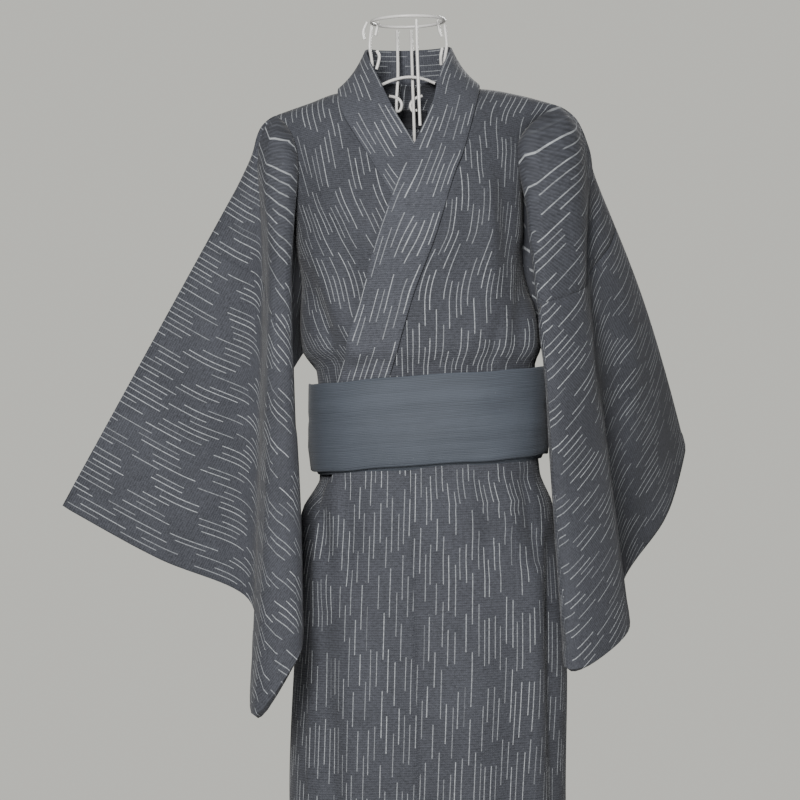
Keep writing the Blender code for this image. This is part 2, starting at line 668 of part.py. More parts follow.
def form_body():
    """Ribs, hoops, cross bars, pole and base, all inside the robe and clear of it."""
    for name, turn, top in RIBS:
        drops = [0.075, 0.11, 0.16, 0.24, 0.31, 0.36, 0.46, 0.52, 0.60, 0.70]
        points = [Vector(top)] + [trunk(drop, turn, -FORM_INSET) for drop in drops]
        wire(name, points, sides=1)
    inside = FORM_INSET + 2 * WIRE + HOOP_CLEAR
    for name, height in HOOPS:
        drop = NECK_POINT_Z - height
        loop = [trunk(drop, 360.0 * i / HOOP_POINTS - 180.0, -inside) for i in range(HOOP_POINTS)]
        wire(name, loop, closed=True, sides=1)
        reach_right, reach_left = loop[HOOP_POINTS // 4].x, loop[3 * HOOP_POINTS // 4].x
        clear = 2 * WIRE
        bar_y = POLE_RADIUS + WIRE + SEAM_GAP
        wire(name + "_bar", [(reach_right + clear, bar_y, height), (reach_left - clear, bar_y, height)])
    disc("base", BASE_RADIUS, 0.0, BASE_HEIGHT, 0.003)
    disc("pole", POLE_RADIUS, BASE_HEIGHT + SEAM_GAP, POLE_TOP, 0.002, 24)


def main():
    clear_scene()
    body_panel("body_panel_right", -1, RIGHT_FAN, RIGHT_FRONT_EDGE, RIGHT_OVERLAP_SEAM_X, UNDER_PANEL_OUT)
    body_panel("body_panel_left", 1, LEFT_FAN, LEFT_FRONT_EDGE, LEFT_OVERLAP_SEAM_X, OVER_PANEL_OUT)
    overlap_panel("overlap_panel_right", -1, RIGHT_FRONT_EDGE, RIGHT_OVERLAP_SEAM_X, UNDER_PANEL_OUT, 0.190)
    overlap_panel("overlap_panel_left", 1, LEFT_FRONT_EDGE, LEFT_OVERLAP_SEAM_X, OVER_PANEL_OUT, 0.215)
    sleeve("sleeve_right", RIGHT_FAN)
    sleeve("sleeve_left", LEFT_FAN)
    collar_band()
    belt_turn("belt_inner_turn", INNER_TURN_Z, INNER_TURN_OUT, -176.0, 176.0)
    belt_turn("belt_outer_turn", OUTER_TURN_Z, OUTER_TURN_OUT, -176.0, 176.0)
    for name, corners, out in KNOT_PIECES:
        patch(name, corners, out, BELT, BELT_CLOTH)
    patch("neck_label", LABEL_CORNERS, LABEL_OUT, LABEL_THICKNESS, LABEL_CLOTH)
    form_neck()
    form_body()


main()
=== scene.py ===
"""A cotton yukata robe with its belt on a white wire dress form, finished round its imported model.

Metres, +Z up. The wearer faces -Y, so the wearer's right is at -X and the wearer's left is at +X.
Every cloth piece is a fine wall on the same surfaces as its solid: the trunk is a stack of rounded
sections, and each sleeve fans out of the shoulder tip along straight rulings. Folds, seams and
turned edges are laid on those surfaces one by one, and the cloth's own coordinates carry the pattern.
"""
import math

import bmesh
import bpy
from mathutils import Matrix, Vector


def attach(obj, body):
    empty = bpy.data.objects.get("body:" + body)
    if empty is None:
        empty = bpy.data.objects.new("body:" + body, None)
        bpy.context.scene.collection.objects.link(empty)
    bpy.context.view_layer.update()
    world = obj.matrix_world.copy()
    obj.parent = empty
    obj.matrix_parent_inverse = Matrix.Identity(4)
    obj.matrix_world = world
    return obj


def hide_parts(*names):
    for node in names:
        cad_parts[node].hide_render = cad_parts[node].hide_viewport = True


bl_info = {
    "name": "Yukata on a Wire Form",
    "version": (1, 0, 0),
    "blender": (4, 5, 0),
    "location": "View3D > Sidebar > Yukata",
    "description": "Builds a dashed cotton yukata, its belt and the wire form that wears it",
    "category": "Add Mesh",
}

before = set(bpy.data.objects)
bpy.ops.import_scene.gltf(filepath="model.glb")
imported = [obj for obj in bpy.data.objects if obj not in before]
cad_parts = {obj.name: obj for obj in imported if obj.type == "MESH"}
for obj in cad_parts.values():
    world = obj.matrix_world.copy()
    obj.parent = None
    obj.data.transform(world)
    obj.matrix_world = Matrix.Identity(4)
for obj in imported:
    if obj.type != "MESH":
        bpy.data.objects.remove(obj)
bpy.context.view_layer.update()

# ---- Sizes the model shares with its solids ------------------------------------------------------
SEAM_GAP = 0.0004         # clear space kept between two sewn pieces
LAYER_GAP = 0.0040        # half the space between a sleeve's front and back layers at its folds
LAYER_SWELL = 0.0075      # added to it in the middle of the sleeve

NECK_POINT_Z = 1.433      # height of the shoulder line beside the neck
SECTION_POWER = 2.4       # roundness of the trunk's sections, 2 is an ellipse
SLOPE_FADE = 0.20         # drop over which the shoulder's slope dies out
NECK_LIFT = 0.026         # how far the back rises to the nape
NECK_LIFT_FADE = 0.15     # drop over which that rise dies out
NECK_HALF_WIDTH = 0.085

ARMHOLE_S = 0.180         # armhole seam, out from the shoulder tip
CUFF_S = 0.540            # cuff edge, out from the shoulder tip
SLEEVE_DROP = 0.490       # bottom edge of the sleeve, along the warp
CUFF_OPENING = 0.260      # the cuff is open this far down
CAP_BULGE = 0.9           # how strongly the shoulder cap parts the two layers
CAP_REACH = 0.045         # how far down a ruling that parting is widest
FOLD_TURN = 10.0          # degrees over which the layers part beside the top fold
CAP_ROUND = 0.040         # the rulings leave the rounded cap this far from the tip
FOLD_BOW = 0.016          # how far the top fold at +X bows outwards halfway down
FOLD_BOW_END = 24.0       # the bow has died out at this angle below the fold

# name, drop from the neck point, half-width at -X, half-width at +X, depth in front, depth behind
SECTIONS = (
    ("shoulder", 0.000, 0.165, 0.182, 0.000, 0.000),
    ("yoke", 0.012, 0.165, 0.170, 0.028, 0.045),
    ("upper", 0.045, 0.160, 0.148, 0.056, 0.074),
    ("armpit", 0.090, 0.151, 0.139, 0.085, 0.088),
    ("chest", 0.145, 0.146, 0.135, 0.108, 0.095),
    ("ribs", 0.250, 0.142, 0.137, 0.113, 0.098),
    ("blouse", 0.318, 0.140, 0.152, 0.109, 0.097),
    ("waist", 0.340, 0.124, 0.144, 0.098, 0.090),
    ("belt_foot", 0.472, 0.124, 0.146, 0.098, 0.094),
    ("hip_top", 0.515, 0.147, 0.161, 0.108, 0.110),
    ("hip", 0.680, 0.160, 0.173, 0.118, 0.124),
    ("thigh", 0.870, 0.172, 0.167, 0.120, 0.126),
    ("knee", 1.130, 0.166, 0.163, 0.118, 0.122),
    ("hem", 1.333, 0.163, 0.161, 0.116, 0.120),
)

# The height of the shoulder line at each place across: x, height.
SHOULDER_LINE = ((-0.165, 1.408), (-0.125, 1.421), (-0.086, 1.433), (0.086, 1.433), (0.135, 1.424),
                 (0.182, 1.410))

# Sleeve rulings: name, angle below the top fold in degrees, where the ruling leaves the rounded
# shoulder cap (x, y, z), and its far end (x, y, z).
RIGHT_RULINGS = (
    ("top_fold", 0.0, (-0.165, 0.000, 1.408), (-0.445, 0.012, 0.932)),
    ("panel_middle", 14.0, (-0.167, -0.008, 1.405), (-0.325, 0.006, 0.864)),
    ("valley", 27.0, (-0.170, -0.014, 1.400), (-0.209, 0.000, 0.809)),
    ("flank", 35.0, (-0.164, -0.021, 1.396), (-0.203, -0.095, 0.752)),
    ("lower_corner", 42.2, (-0.158, -0.027, 1.393), (-0.198, -0.177, 0.689)),
    ("crest", 47.0, (-0.159, -0.028, 1.388), (-0.152, -0.170, 0.757)),
    ("inner_flank", 59.0, (-0.160, -0.018, 1.388), (-0.160, -0.040, 0.837)),
    ("inner_corner", 69.4, (-0.161, -0.006, 1.390), (-0.170, 0.055, 0.889)),
)
LEFT_RULINGS = (
    ("top_fold", 0.0, (0.182, 0.000, 1.410), (0.356, 0.250, 0.981)),
    ("panel_middle", 12.0, (0.187, -0.004, 1.404), (0.306, 0.165, 0.885)),
    ("valley", 23.0, (0.192, -0.012, 1.396), (0.244, 0.092, 0.812)),
    ("roll", 33.0, (0.178, -0.032, 1.390), (0.241, -0.050, 0.762)),
    ("lower_corner", 42.2, (0.144, -0.042, 1.384), (0.171, -0.122, 0.727)),
    ("crest", 50.0, (0.149, -0.034, 1.382), (0.180, -0.004, 0.779)),
    ("inner_flank", 59.0, (0.153, -0.014, 1.382), (0.185, 0.090, 0.838)),
    ("inner_corner", 69.4, (0.158, 0.000, 1.382), (0.188, 0.150, 0.905)),
)
RIGHT_TIP = Vector((-0.165, 0.0, 1.408))
LEFT_TIP = Vector((0.182, 0.0, 1.410))

# Edge of each front under the middle of its collar, then down the free edge: drop, x.
RIGHT_FRONT_EDGE = ((0.0, -0.080), (0.012, -0.068), (0.030, -0.054), (0.080, -0.024), (0.135, 0.008),
                    (0.190, 0.036), (0.250, 0.059), (0.352, 0.088), (0.440, 0.105), (0.505, 0.118),
                    (0.680, 0.126), (1.333, 0.124))
LEFT_FRONT_EDGE = ((0.0, 0.080), (0.012, 0.066), (0.030, 0.052), (0.075, 0.036), (0.117, 0.016),
                   (0.190, -0.011), (0.250, -0.032), (0.352, -0.063), (0.440, -0.086), (0.505, -0.122),
                   (0.680, -0.137), (0.870, -0.146), (1.333, -0.136))
RIGHT_OVERLAP_SEAM_X = 0.030
LEFT_OVERLAP_SEAM_X = -0.013

# Collar band round the neck, from the nape down to the left chest: inner edge x, y, z, outer edge x, y, z.
LEFT_NECK_BAND = (
    ((0.034, 0.050, 1.491), (0.043, 0.062, 1.439)),
    ((0.052, 0.024, 1.489), (0.074, 0.034, 1.442)),
    ((0.047, -0.006, 1.474), (0.0845, 0.000, 1.439)),
    ((0.0365, -0.034, 1.447), (0.0835, -0.025, 1.428)),
    ((0.0275, -0.058, 1.412), (0.0765, -0.050, 1.402)),
)
NAPE_BAND = ((0.0, 0.058, 1.491), (0.0, 0.068, 1.438))
RIGHT_NECK_BAND = (
    ((-0.034, 0.050, 1.491), (-0.043, 0.062, 1.439)),
    ((-0.052, 0.024, 1.489), (-0.074, 0.034, 1.442)),
    ((-0.050, -0.006, 1.474), (-0.086, 0.000, 1.439)),
    ((-0.039, -0.034, 1.447), (-0.0875, -0.022, 1.430)),
    ((-0.024, -0.062, 1.410), (-0.081, -0.050, 1.402)),
)
# Collar band on the chest: drop, x of the inner edge, x of the outer edge.
LEFT_CHEST_BAND = ((0.075, 0.006, 0.065), (0.117, -0.0155, 0.0467), (0.190, -0.044, 0.0218),
                   (0.250, -0.0613, -0.0026), (0.300, -0.077, -0.019), (0.352, -0.091, -0.035),
                   (0.440, -0.112, -0.058))
RIGHT_CHEST_BAND = ((0.080, 0.007, -0.054), (0.135, 0.040, -0.0244), (0.190, 0.066, 0.006),
                    (0.250, 0.088, 0.030), (0.352, 0.112, 0.060), (0.440, 0.124, 0.078))

# How far each layer stands out from the trunk's surface at the front.
UNDER_PANEL_OUT = -0.0062
UNDER_BAND_OUT = -0.0022
OVER_PANEL_OUT = 0.0040
OVER_BAND_OUT = 0.0080
INNER_TURN_OUT = 0.0128
OUTER_TURN_OUT = 0.0158

BELT_TILT = math.tan(math.radians(2.6))
BELT_CENTRE_X = 0.012
INNER_TURN_Z = (0.971, 1.077)
OUTER_TURN_Z = (0.976, 1.081)

WIRE = 0.0020             # radius of the form's wire
FORM_INSET = 0.0150       # the form's ribs lie this far inside the trunk's surface
BASE_RADIUS = 0.160
BASE_HEIGHT = 0.012
POLE_RADIUS = 0.011

NECK_RING_RADIUS = 0.045
NECK_RING_Z = 1.520
POLE_TOP = 1.330

# The form's wires round the neck: name, points. They start a hair under the ring.
NECK_WIRES = (
    ("neck_wire_right", ((-0.045, 0.000, 1.5155), (-0.048, -0.002, 1.490), (-0.046, 0.0, 1.465),
                         (-0.060, 0.002, 1.425), (-0.075, 0.002, 1.405))),
    ("neck_wire_left", ((0.045, 0.000, 1.5155), (0.0470, 0.002, 1.490), (0.0445, 0.006, 1.465),
                        (0.060, 0.004, 1.425), (0.075, 0.002, 1.405))),
    ("neck_wire_front", ((0.010, -0.0439, 1.5155), (0.010, -0.044, 1.460), (0.011, -0.044, 1.386))),
    ("neck_wire_centre", ((0.004, 0.0448, 1.5155), (0.004, 0.034, 1.455), (0.004, 0.020, 1.374),
                          (0.002, 0.016, 1.3705), (-0.001, 0.015, 1.374))),
    ("neck_wire_back_right", ((-0.0135, 0.0429, 1.5155), (-0.014, 0.033, 1.460), (-0.017, 0.030, 1.413),
                              (-0.0125, 0.030, 1.414), (-0.0105, 0.030, 1.4225), (-0.015, 0.030, 1.429),
                              (-0.026, 0.028, 1.432))),
    ("neck_wire_back_left", ((0.016, 0.034, 1.432), (0.006, 0.036, 1.4285), (0.0005, 0.036, 1.421),
                             (0.0035, 0.036, 1.413), (0.0085, 0.036, 1.4145))),
    ("neck_arch", ((-0.034, 0.0230, 1.4460), (-0.018, 0.0250, 1.4520), (0.0, 0.0250, 1.4545),
                   (0.018, 0.0250, 1.4515), (0.032, 0.0230, 1.4455))),
    ("scroll_high_right_outer", ((-0.0505, 0.000, 1.5205), (-0.0555, 0.0, 1.509), (-0.0545, 0.0, 1.499))),
    ("scroll_high_right_inner", ((-0.0365, 0.000, 1.5205), (-0.0385, 0.0, 1.512), (-0.0405, 0.0, 1.5035))),
    ("scroll_high_left", ((0.0365, 0.000, 1.5205), (0.0385, 0.0, 1.508), (0.0415, 0.0, 1.500))),
    ("scroll_low_right", ((-0.0395, 0.000, 1.485), (-0.0365, 0.0, 1.478), (-0.0385, 0.0, 1.468),
                          (-0.0405, 0.0, 1.462))),
    ("scroll_low_left", ((0.0415, 0.000, 1.486), (0.0395, 0.0, 1.476), (0.0395, 0.004, 1.466))),
)
# Upright ribs: name, turn from the front, where the rib's top end stands.
RIBS = (
    ("rib_front_right", -24.0, (-0.040, -0.030, 1.405)),
    ("rib_front_left", 24.0, (0.045, -0.028, 1.405)),
    ("rib_side_front_right", -62.0, (-0.085, -0.010, 1.404)),
    ("rib_side_front_left", 62.0, (0.092, -0.010, 1.404)),
    ("rib_side_back_right", -118.0, (-0.085, 0.010, 1.404)),
    ("rib_side_back_left", 118.0, (0.092, 0.010, 1.404)),
    ("rib_back_right", -156.0, (-0.040, 0.036, 1.408)),
    ("rib_back_left", 156.0, (0.045, 0.036, 1.408)),
)
# Level hoops inside the ribs: name, height.
HOOP_CLEAR = 0.0022       # between a hoop's flats and the ribs that pass outside it
HOOPS = (("chest_hoop", 1.290), ("waist_hoop", 1.030), ("hip_hoop", 0.760))

# The belt's knot on the back, flat pieces: name, corners (x, height), how far out.
KNOT_PIECES = (
    ("belt_knot_fold", ((-0.052, 0.962), (0.046, 0.976), (0.054, 1.092), (-0.044, 1.082)), 0.0195),
    ("belt_knot_tail_up", ((-0.012, 1.020), (0.048, 1.004), (0.098, 1.118), (0.036, 1.142)), 0.0230),
    ("belt_knot_tail_across", ((-0.098, 1.016), (-0.006, 0.966), (0.022, 1.026), (-0.074, 1.078)), 0.0265),
)

# The blank label inside the back of the neck: corners (x, height before the nape's rise).
LABEL_CORNERS = ((-0.0170, 1.3790), (0.0210, 1.3790), (0.0210, 1.3985), (-0.0170, 1.3985))
LABEL_OUT = -0.0034
LABEL_THICKNESS = 0.0012


# ---- Finer cloth ---------------------------------------------------------------------------------
ROW_STEP = 0.0075         # longest step between two rows of the fine cloth above the armhole's foot
FAN_STEP = 1.1            # longest step between two rulings, in degrees
LOW_ROW_STEP = 0.009      # longest step between two rows below the armhole
COLLAR_STEP = 0.006       # and along the collar band
PANEL_COLUMNS = 44        # columns across one front or back of a body panel
OVERLAP_COLUMNS = 22
COLLAR_COLUMNS = 12
SHARP_ANGLE = 55.0        # edges that turn more than this many degrees stay sharp
WELD_DISTANCE = 0.00012   # points closer than this are one point
SLIVER = 0.00008          # and faces thinner than this are closed up
RIM_ROUND = 0.9           # how far the rim's middle stands out, in half thicknesses

SEAM_DIP = 0.0014         # a seam's turned edges sink this far
SEAM_DIP_WIDTH = 0.0060
TIP_U = 0.175             # the shoulder tip, measured across the cloth from the centre back
SEAM_PER_DEGREE = 0.0026  # distance from a seam for each degree of turn away from it
HEM_FOLD_DROP = 1.310     # the hem's turned edge begins here
HEM_FOLD = 0.0007         # and stands out this far
WAIST_DROP = 0.47         # the skirt begins here, at the belt's foot
CUFF_TURN = 0.020         # width of the turned edge at the cuff and the bottom of a sleeve
CUFF_FOLD = 0.0006        # how far it stands out
SLEEVE_INSET = 0.0022     # the layers stop this short of the edge that joins them
SLEEVE_DOWN = 0.013       # shifts the sleeve's dashes along the warp against the body's
OVERLAP_DOWN = 0.037      # and the overlap panels' dashes
COLLAR_THICKNESS = 0.0026
KNOT_CROWN = 0.0010       # how far the knot's pieces puff out
LABEL_CROWN = 0.0002

# Across the cloth, where the side of the trunk lies at each drop: the cloth drifts inwards under the
# arm, is drawn together above the belt and fans out again below it.
RIGHT_SIDE_U = ((0.0, 0.175), (0.10, 0.205), (0.20, 0.250), (0.27, 0.290), (0.340, 0.352), (0.400, 0.356),
                (0.470, 0.350), (0.560, 0.312), (0.680, 0.298), (1.333, 0.300))
LEFT_SIDE_U = ((0.0, 0.175), (0.10, 0.190), (0.20, 0.212), (0.27, 0.236), (0.340, 0.262), (0.400, 0.268),
               (0.470, 0.270), (0.560, 0.276), (0.680, 0.280), (1.333, 0.276))
BACK_SIDE_U = ((0.0, 0.175), (0.20, 0.215), (0.340, 0.250), (0.470, 0.250), (0.700, 0.240), (1.333, 0.240))

SKIRT_LEAN = 0.055         # the threads lean this much on the front of the skirt
SEAM_U = {-1: 0.043, 1: 0.030}      # across the cloth, the overlap seam on each front
# Soft folds on the trunk: x and height where each begins and ends, width, depth (a trough is negative).
FRONT_FOLDS = (
    (-0.146, 1.215, -0.098, 1.108, 0.0110, -0.0052),
    (-0.134, 1.250, -0.070, 1.100, 0.0100, 0.0036),
    (-0.122, 1.160, -0.104, 1.092, 0.0070, -0.0040),
    (-0.104, 1.275, -0.052, 1.130, 0.0120, -0.0030),
    (-0.122, 1.352, -0.096, 1.285, 0.0150, 0.0030),
    (-0.092, 1.118, -0.060, 1.088, 0.0060, -0.0034),
    (-0.075, 1.128, -0.048, 1.094, 0.0055, 0.0026),
    (0.106, 1.330, 0.112, 1.215, 0.0130, -0.0046),
    (0.088, 1.310, 0.090, 1.180, 0.0120, 0.0040),
    (0.060, 1.270, 0.054, 1.150, 0.0130, -0.0028),
    (0.130, 1.235, 0.118, 1.120, 0.0090, -0.0050),
    (0.142, 1.190, 0.134, 1.105, 0.0080, 0.0040),
    (0.100, 1.150, 0.084, 1.092, 0.0065, -0.0036),
    (0.066, 1.134, 0.052, 1.094, 0.0060, 0.0024),
    (0.028, 1.150, 0.022, 1.098, 0.0060, -0.0022),
    (-0.124, 0.948, -0.112, 0.852, 0.0085, -0.0050),
    (-0.102, 0.952, -0.096, 0.872, 0.0070, 0.0034),
    (-0.088, 0.950, -0.090, 0.842, 0.0075, -0.0040),
    (-0.058, 0.950, -0.066, 0.862, 0.0080, 0.0028),
    (-0.020, 0.952, -0.030, 0.850, 0.0090, -0.0028),
    (0.028, 0.955, 0.026, 0.866, 0.0080, -0.0022),
    (0.070, 0.955, 0.080, 0.850, 0.0090, -0.0034),
    (0.098, 0.952, 0.108, 0.876, 0.0070, 0.0030),
    (0.122, 0.952, 0.134, 0.856, 0.0080, -0.0050),
    (0.096, 0.928, 0.118, 0.926, 0.0028, 0.0022),
    (0.090, 0.921, 0.120, 0.918, 0.0034, -0.0022),
    (0.100, 0.915, 0.068, 0.872, 0.0060, -0.0026),
    (0.151, 0.880, 0.146, 0.560, 0.0080, -0.0085),
    (0.130, 0.840, 0.126, 0.520, 0.0110, 0.0050),
    (0.092, 0.800, 0.094, 0.330, 0.0200, -0.0036),
    (0.052, 0.760, 0.050, 0.220, 0.0240, 0.0040),
    (-0.040, 0.780, -0.046, 0.240, 0.0220, -0.0040),
    (-0.084, 0.820, -0.088, 0.420, 0.0150, 0.0044),
    (-0.118, 0.800, -0.112, 0.300, 0.0120, -0.0060),
    (0.012, 0.620, 0.014, 0.110, 0.0260, -0.0040),
    (-0.070, 0.420, -0.074, 0.100, 0.0180, -0.0040),
    (0.104, 0.460, 0.100, 0.100, 0.0200, -0.0046),
)
BACK_FOLDS = (
    (-0.118, 1.330, -0.096, 1.110, 0.0140, -0.0056),
    (-0.086, 1.280, -0.070, 1.100, 0.0110, 0.0040),
    (-0.050, 1.200, -0.044, 1.096, 0.0110, -0.0036),
    (0.122, 1.320, 0.098, 1.112, 0.0140, -0.0056),
    (0.084, 1.260, 0.072, 1.098, 0.0110, 0.0038),
    (0.044, 1.190, 0.050, 1.094, 0.0100, -0.0034),
    (-0.128, 1.190, -0.122, 1.100, 0.0080, 0.0046),
    (0.130, 1.180, 0.124, 1.100, 0.0080, 0.0044),
    (-0.112, 0.950, -0.124, 0.800, 0.0100, -0.0056),
    (-0.074, 0.950, -0.084, 0.760, 0.0120, 0.0036),
    (-0.030, 0.950, -0.034, 0.740, 0.0130, -0.0036),
    (0.036, 0.952, 0.044, 0.730, 0.0130, -0.0038),
    (0.078, 0.950, 0.088, 0.770, 0.0110, 0.0034),
    (0.116, 0.952, 0.130, 0.800, 0.0100, -0.0056),
    (-0.096, 0.700, -0.102, 0.180, 0.0220, -0.0052),
    (-0.012, 0.640, -0.016, 0.120, 0.0260, -0.0042),
    (0.060, 0.700, 0.056, 0.160, 0.0220, 0.0046),
    (0.112, 0.640, 0.106, 0.140, 0.0200, -0.0056),
    (-0.052, 0.480, -0.050, 0.110, 0.0200, 0.0042),
)
# Soft folds on the sleeves, in the cloth's own distances from the shoulder tip: across the cloth and
# along the warp where each begins and ends, width, depth.
RIGHT_SLEEVE_FOLDS = (
    (0.200, 0.010, 0.500, 0.170, 0.0240, 0.0026),
    (0.260, 0.080, 0.520, 0.240, 0.0200, -0.0024),
    (0.440, 0.020, 0.515, 0.120, 0.0160, -0.0028),
    (0.300, 0.020, 0.390, 0.060, 0.0180, -0.0018),
    (0.070, 0.010, 0.160, 0.070, 0.0110, -0.0026),
    (0.050, 0.040, 0.120, 0.120, 0.0090, 0.0024),
    (0.300, 0.260, 0.500, 0.440, 0.0120, -0.0040),
    (0.260, 0.300, 0.420, 0.470, 0.0100, 0.0036),
    (0.120, 0.120, 0.220, 0.230, 0.0080, -0.0030),
)
LEFT_SLEEVE_FOLDS = (
    (0.030, 0.015, 0.090, 0.090, 0.0090, -0.0034),
    (0.060, 0.010, 0.150, 0.100, 0.0100, 0.0030),
    (0.110, 0.015, 0.200, 0.120, 0.0100, -0.0030),
    (0.180, 0.060, 0.300, 0.180, 0.0120, -0.0032),
    (0.260, 0.040, 0.480, 0.150, 0.0180, 0.0030),
    (0.330, 0.150, 0.520, 0.250, 0.0150, -0.0034),
    (0.220, 0.210, 0.400, 0.420, 0.0110, -0.0036),
    (0.200, 0.250, 0.360, 0.450, 0.0090, 0.0030),
    (0.120, 0.130, 0.190, 0.210, 0.0080, -0.0032),
)


def through(knots, values, place):
    """A smooth curve through the values at rising knots, held level beyond both ends."""
    if place <= knots[0]:
        return values[0]
    if place >= knots[-1]:
        return values[-1]
    span = max(i for i in range(len(knots) - 1) if knots[i] <= place)
    width = knots[span + 1] - knots[span]
    share = (place - knots[span]) / width

    def slope(i):
        before = max(i - 1, 0)
        after = min(i + 1, len(knots) - 1)
        return (values[after] - values[before]) * (width / (knots[after] - knots[before]))

    square = share * share
    cube = square * share
    return (values[span] * (2 * cube - 3 * square + 1) + slope(span) * (cube - 2 * square + share)
            + values[span + 1] * (3 * square - 2 * cube) + slope(span + 1) * (cube - square))


def linear(table, place):
    """The value of a table of (place, value) rows, straight between the rows."""
    if place <= table[0][0]:
        return table[0][1]
    for (low, first), (high, second) in zip(table, table[1:]):
        if place <= high:
            return first + (second - first) * (place - low) / (high - low)
    return table[-1][1]


def flowing(table, place):
    """The same table read as a smooth curve."""
    return through([row[0] for row in table], [row[1] for row in table], place)


def smooth(low, high, value):
    """0 at low, 1 at high, and eased between them."""
    share = min(1.0, max(0.0, (value - low) / (high - low)))
    return share * share * (3 - 2 * share)


def refine(places, step):
    """The places with even steps no longer than step put between them."""
    fine = [places[0]]
    for low, high in zip(places, places[1:]):
        count = max(1, math.ceil(abs(high - low) / step - 1e-6))
        fine += [low + (high - low) * i / count for i in range(1, count + 1)]
    return fine


def relief(folds, a, b):
    """Height of the listed folds at one place: each is a rounded trough or ridge along a line."""
    total = 0.0
    for a0, b0, a1, b1, width, depth in folds:
        if min(a0, a1) - 3 * width < a < max(a0, a1) + 3 * width:
            if min(b0, b1) - 3 * width < b < max(b0, b1) + 3 * width:
                run_a, run_b = a1 - a0, b1 - b0
                share = ((a - a0) * run_a + (b - b0) * run_b) / (run_a * run_a + run_b * run_b)
                share = min(1.0, max(0.0, share))
                away = math.hypot(a - a0 - run_a * share, b - b0 - run_b * share)
                taper = 0.35 + 0.65 * math.sin(math.pi * min(1.0, max(0.0, 0.12 + 0.76 * share)))
                total += depth * taper * math.exp(-(away / width) ** 2)
    return total


# ---- The trunk's surface ---------------------------------------------------------------------------
ROOT_DROPS = [math.sqrt(row[1]) for row in SECTIONS]
SECTION_CACHE = {}


def section(drop):
    """Half-widths at -X and +X and depths in front and behind at one drop."""
    key = round(drop, 6)
    if key not in SECTION_CACHE:
        place = math.sqrt(max(0.0, drop))
        SECTION_CACHE[key] = [through(ROOT_DROPS, [row[column] for row in SECTIONS], place)
                              for column in (2, 3, 4, 5)]
    return SECTION_CACHE[key]


def shoulder_height(x):
    return flowing(SHOULDER_LINE, x)


def turn_of(drop, x):
    """The angle from straight ahead, positive towards +X, at which a section reaches x."""
    right, left, _, _ = section(drop)
    centre = (left - right) / 2
    share = max(-1.0, min(1.0, (x - centre) / ((left + right) / 2)))
    return math.degrees(math.asin(math.copysign(abs(share) ** (SECTION_POWER / 2), share)))


def trunk_point(drop, turn):
    """The trunk's surface: drop below the shoulder line, turn in degrees from the front."""
    right, left, front, behind = section(drop)
    side = math.sin(math.radians(turn))
    ahead = math.cos(math.radians(turn))
    across = math.copysign(abs(side) ** (2 / SECTION_POWER), side)
    along = abs(ahead) ** (2 / SECTION_POWER)
    x = (left - right) / 2 + across * (left + right) / 2
    y = -front * along if ahead > 0 else behind * along
    slope = (NECK_POINT_Z - shoulder_height(x)) * max(0.0, 1 - drop / SLOPE_FADE)
    lift = 0.0
    if ahead < 0:
        lift = NECK_LIFT * max(0.0, 1 - (x / NECK_HALF_WIDTH) ** 2) * max(0.0, 1 - drop / NECK_LIFT_FADE)
    return Vector((x, y, NECK_POINT_Z - drop - slope + lift))


def trunk_folds(point, ahead):
    """Folds on the trunk, which die out where the belt holds the cloth flat."""
    held = smooth(1.100, 1.080, point.z) * smooth(0.955, 0.970, point.z)
    return relief(FRONT_FOLDS if ahead else BACK_FOLDS, point.x, point.z) * (1 - held)


def trunk(drop, turn, out=0.0, folded=True):
    """The same surface with its folds, moved out along its own normal."""
    point = trunk_point(drop, turn)
    if folded:
        out += trunk_folds(point, abs(turn) < 90)
    if out == 0.0:
        return point
    step = 0.004 + 0.03 * drop
    low = max(drop - step, 0.0)
    down = trunk_point(drop + step, turn) - trunk_point(low, turn)
    around = trunk_point(max(drop, 0.004), turn + 1.5) - trunk_point(max(drop, 0.004), turn - 1.5)
    normal = down.cross(around).normalized()
    return point + normal * out


def panel_out(drop, turn, out):
    """A front's layer offset: full over the front, none at the side seam and at the shoulder."""
    return out * smooth(86, 58, abs(turn)) * smooth(0.0, 0.05, drop)


def down_table(turn):
    """How far down the cloth each drop is, measured along one upright line of the trunk."""
    places = refine([0.0, 0.10, 1.34], 0.005)
    rows = [(0.0, 0.0)]
    for low, high in zip(places, places[1:]):
        length = (trunk_point(high, turn) - trunk_point(low, turn)).length
        rows.append((high, rows[-1][1] + length))
    return rows


FRONT_DOWN = down_table(35.0)
BACK_DOWN = down_table(145.0)


# ---- A sleeve's fan of rulings -----------------------------------------------------------------------
def reach_of(angle):
    """Length of a ruling: as far as the cuff edge or the bottom edge, whichever comes first."""
    lean = math.radians(angle)
    bottom = SLEEVE_DROP / max(math.sin(lean), 0.001)
    return min(CUFF_S / math.cos(lean), bottom)


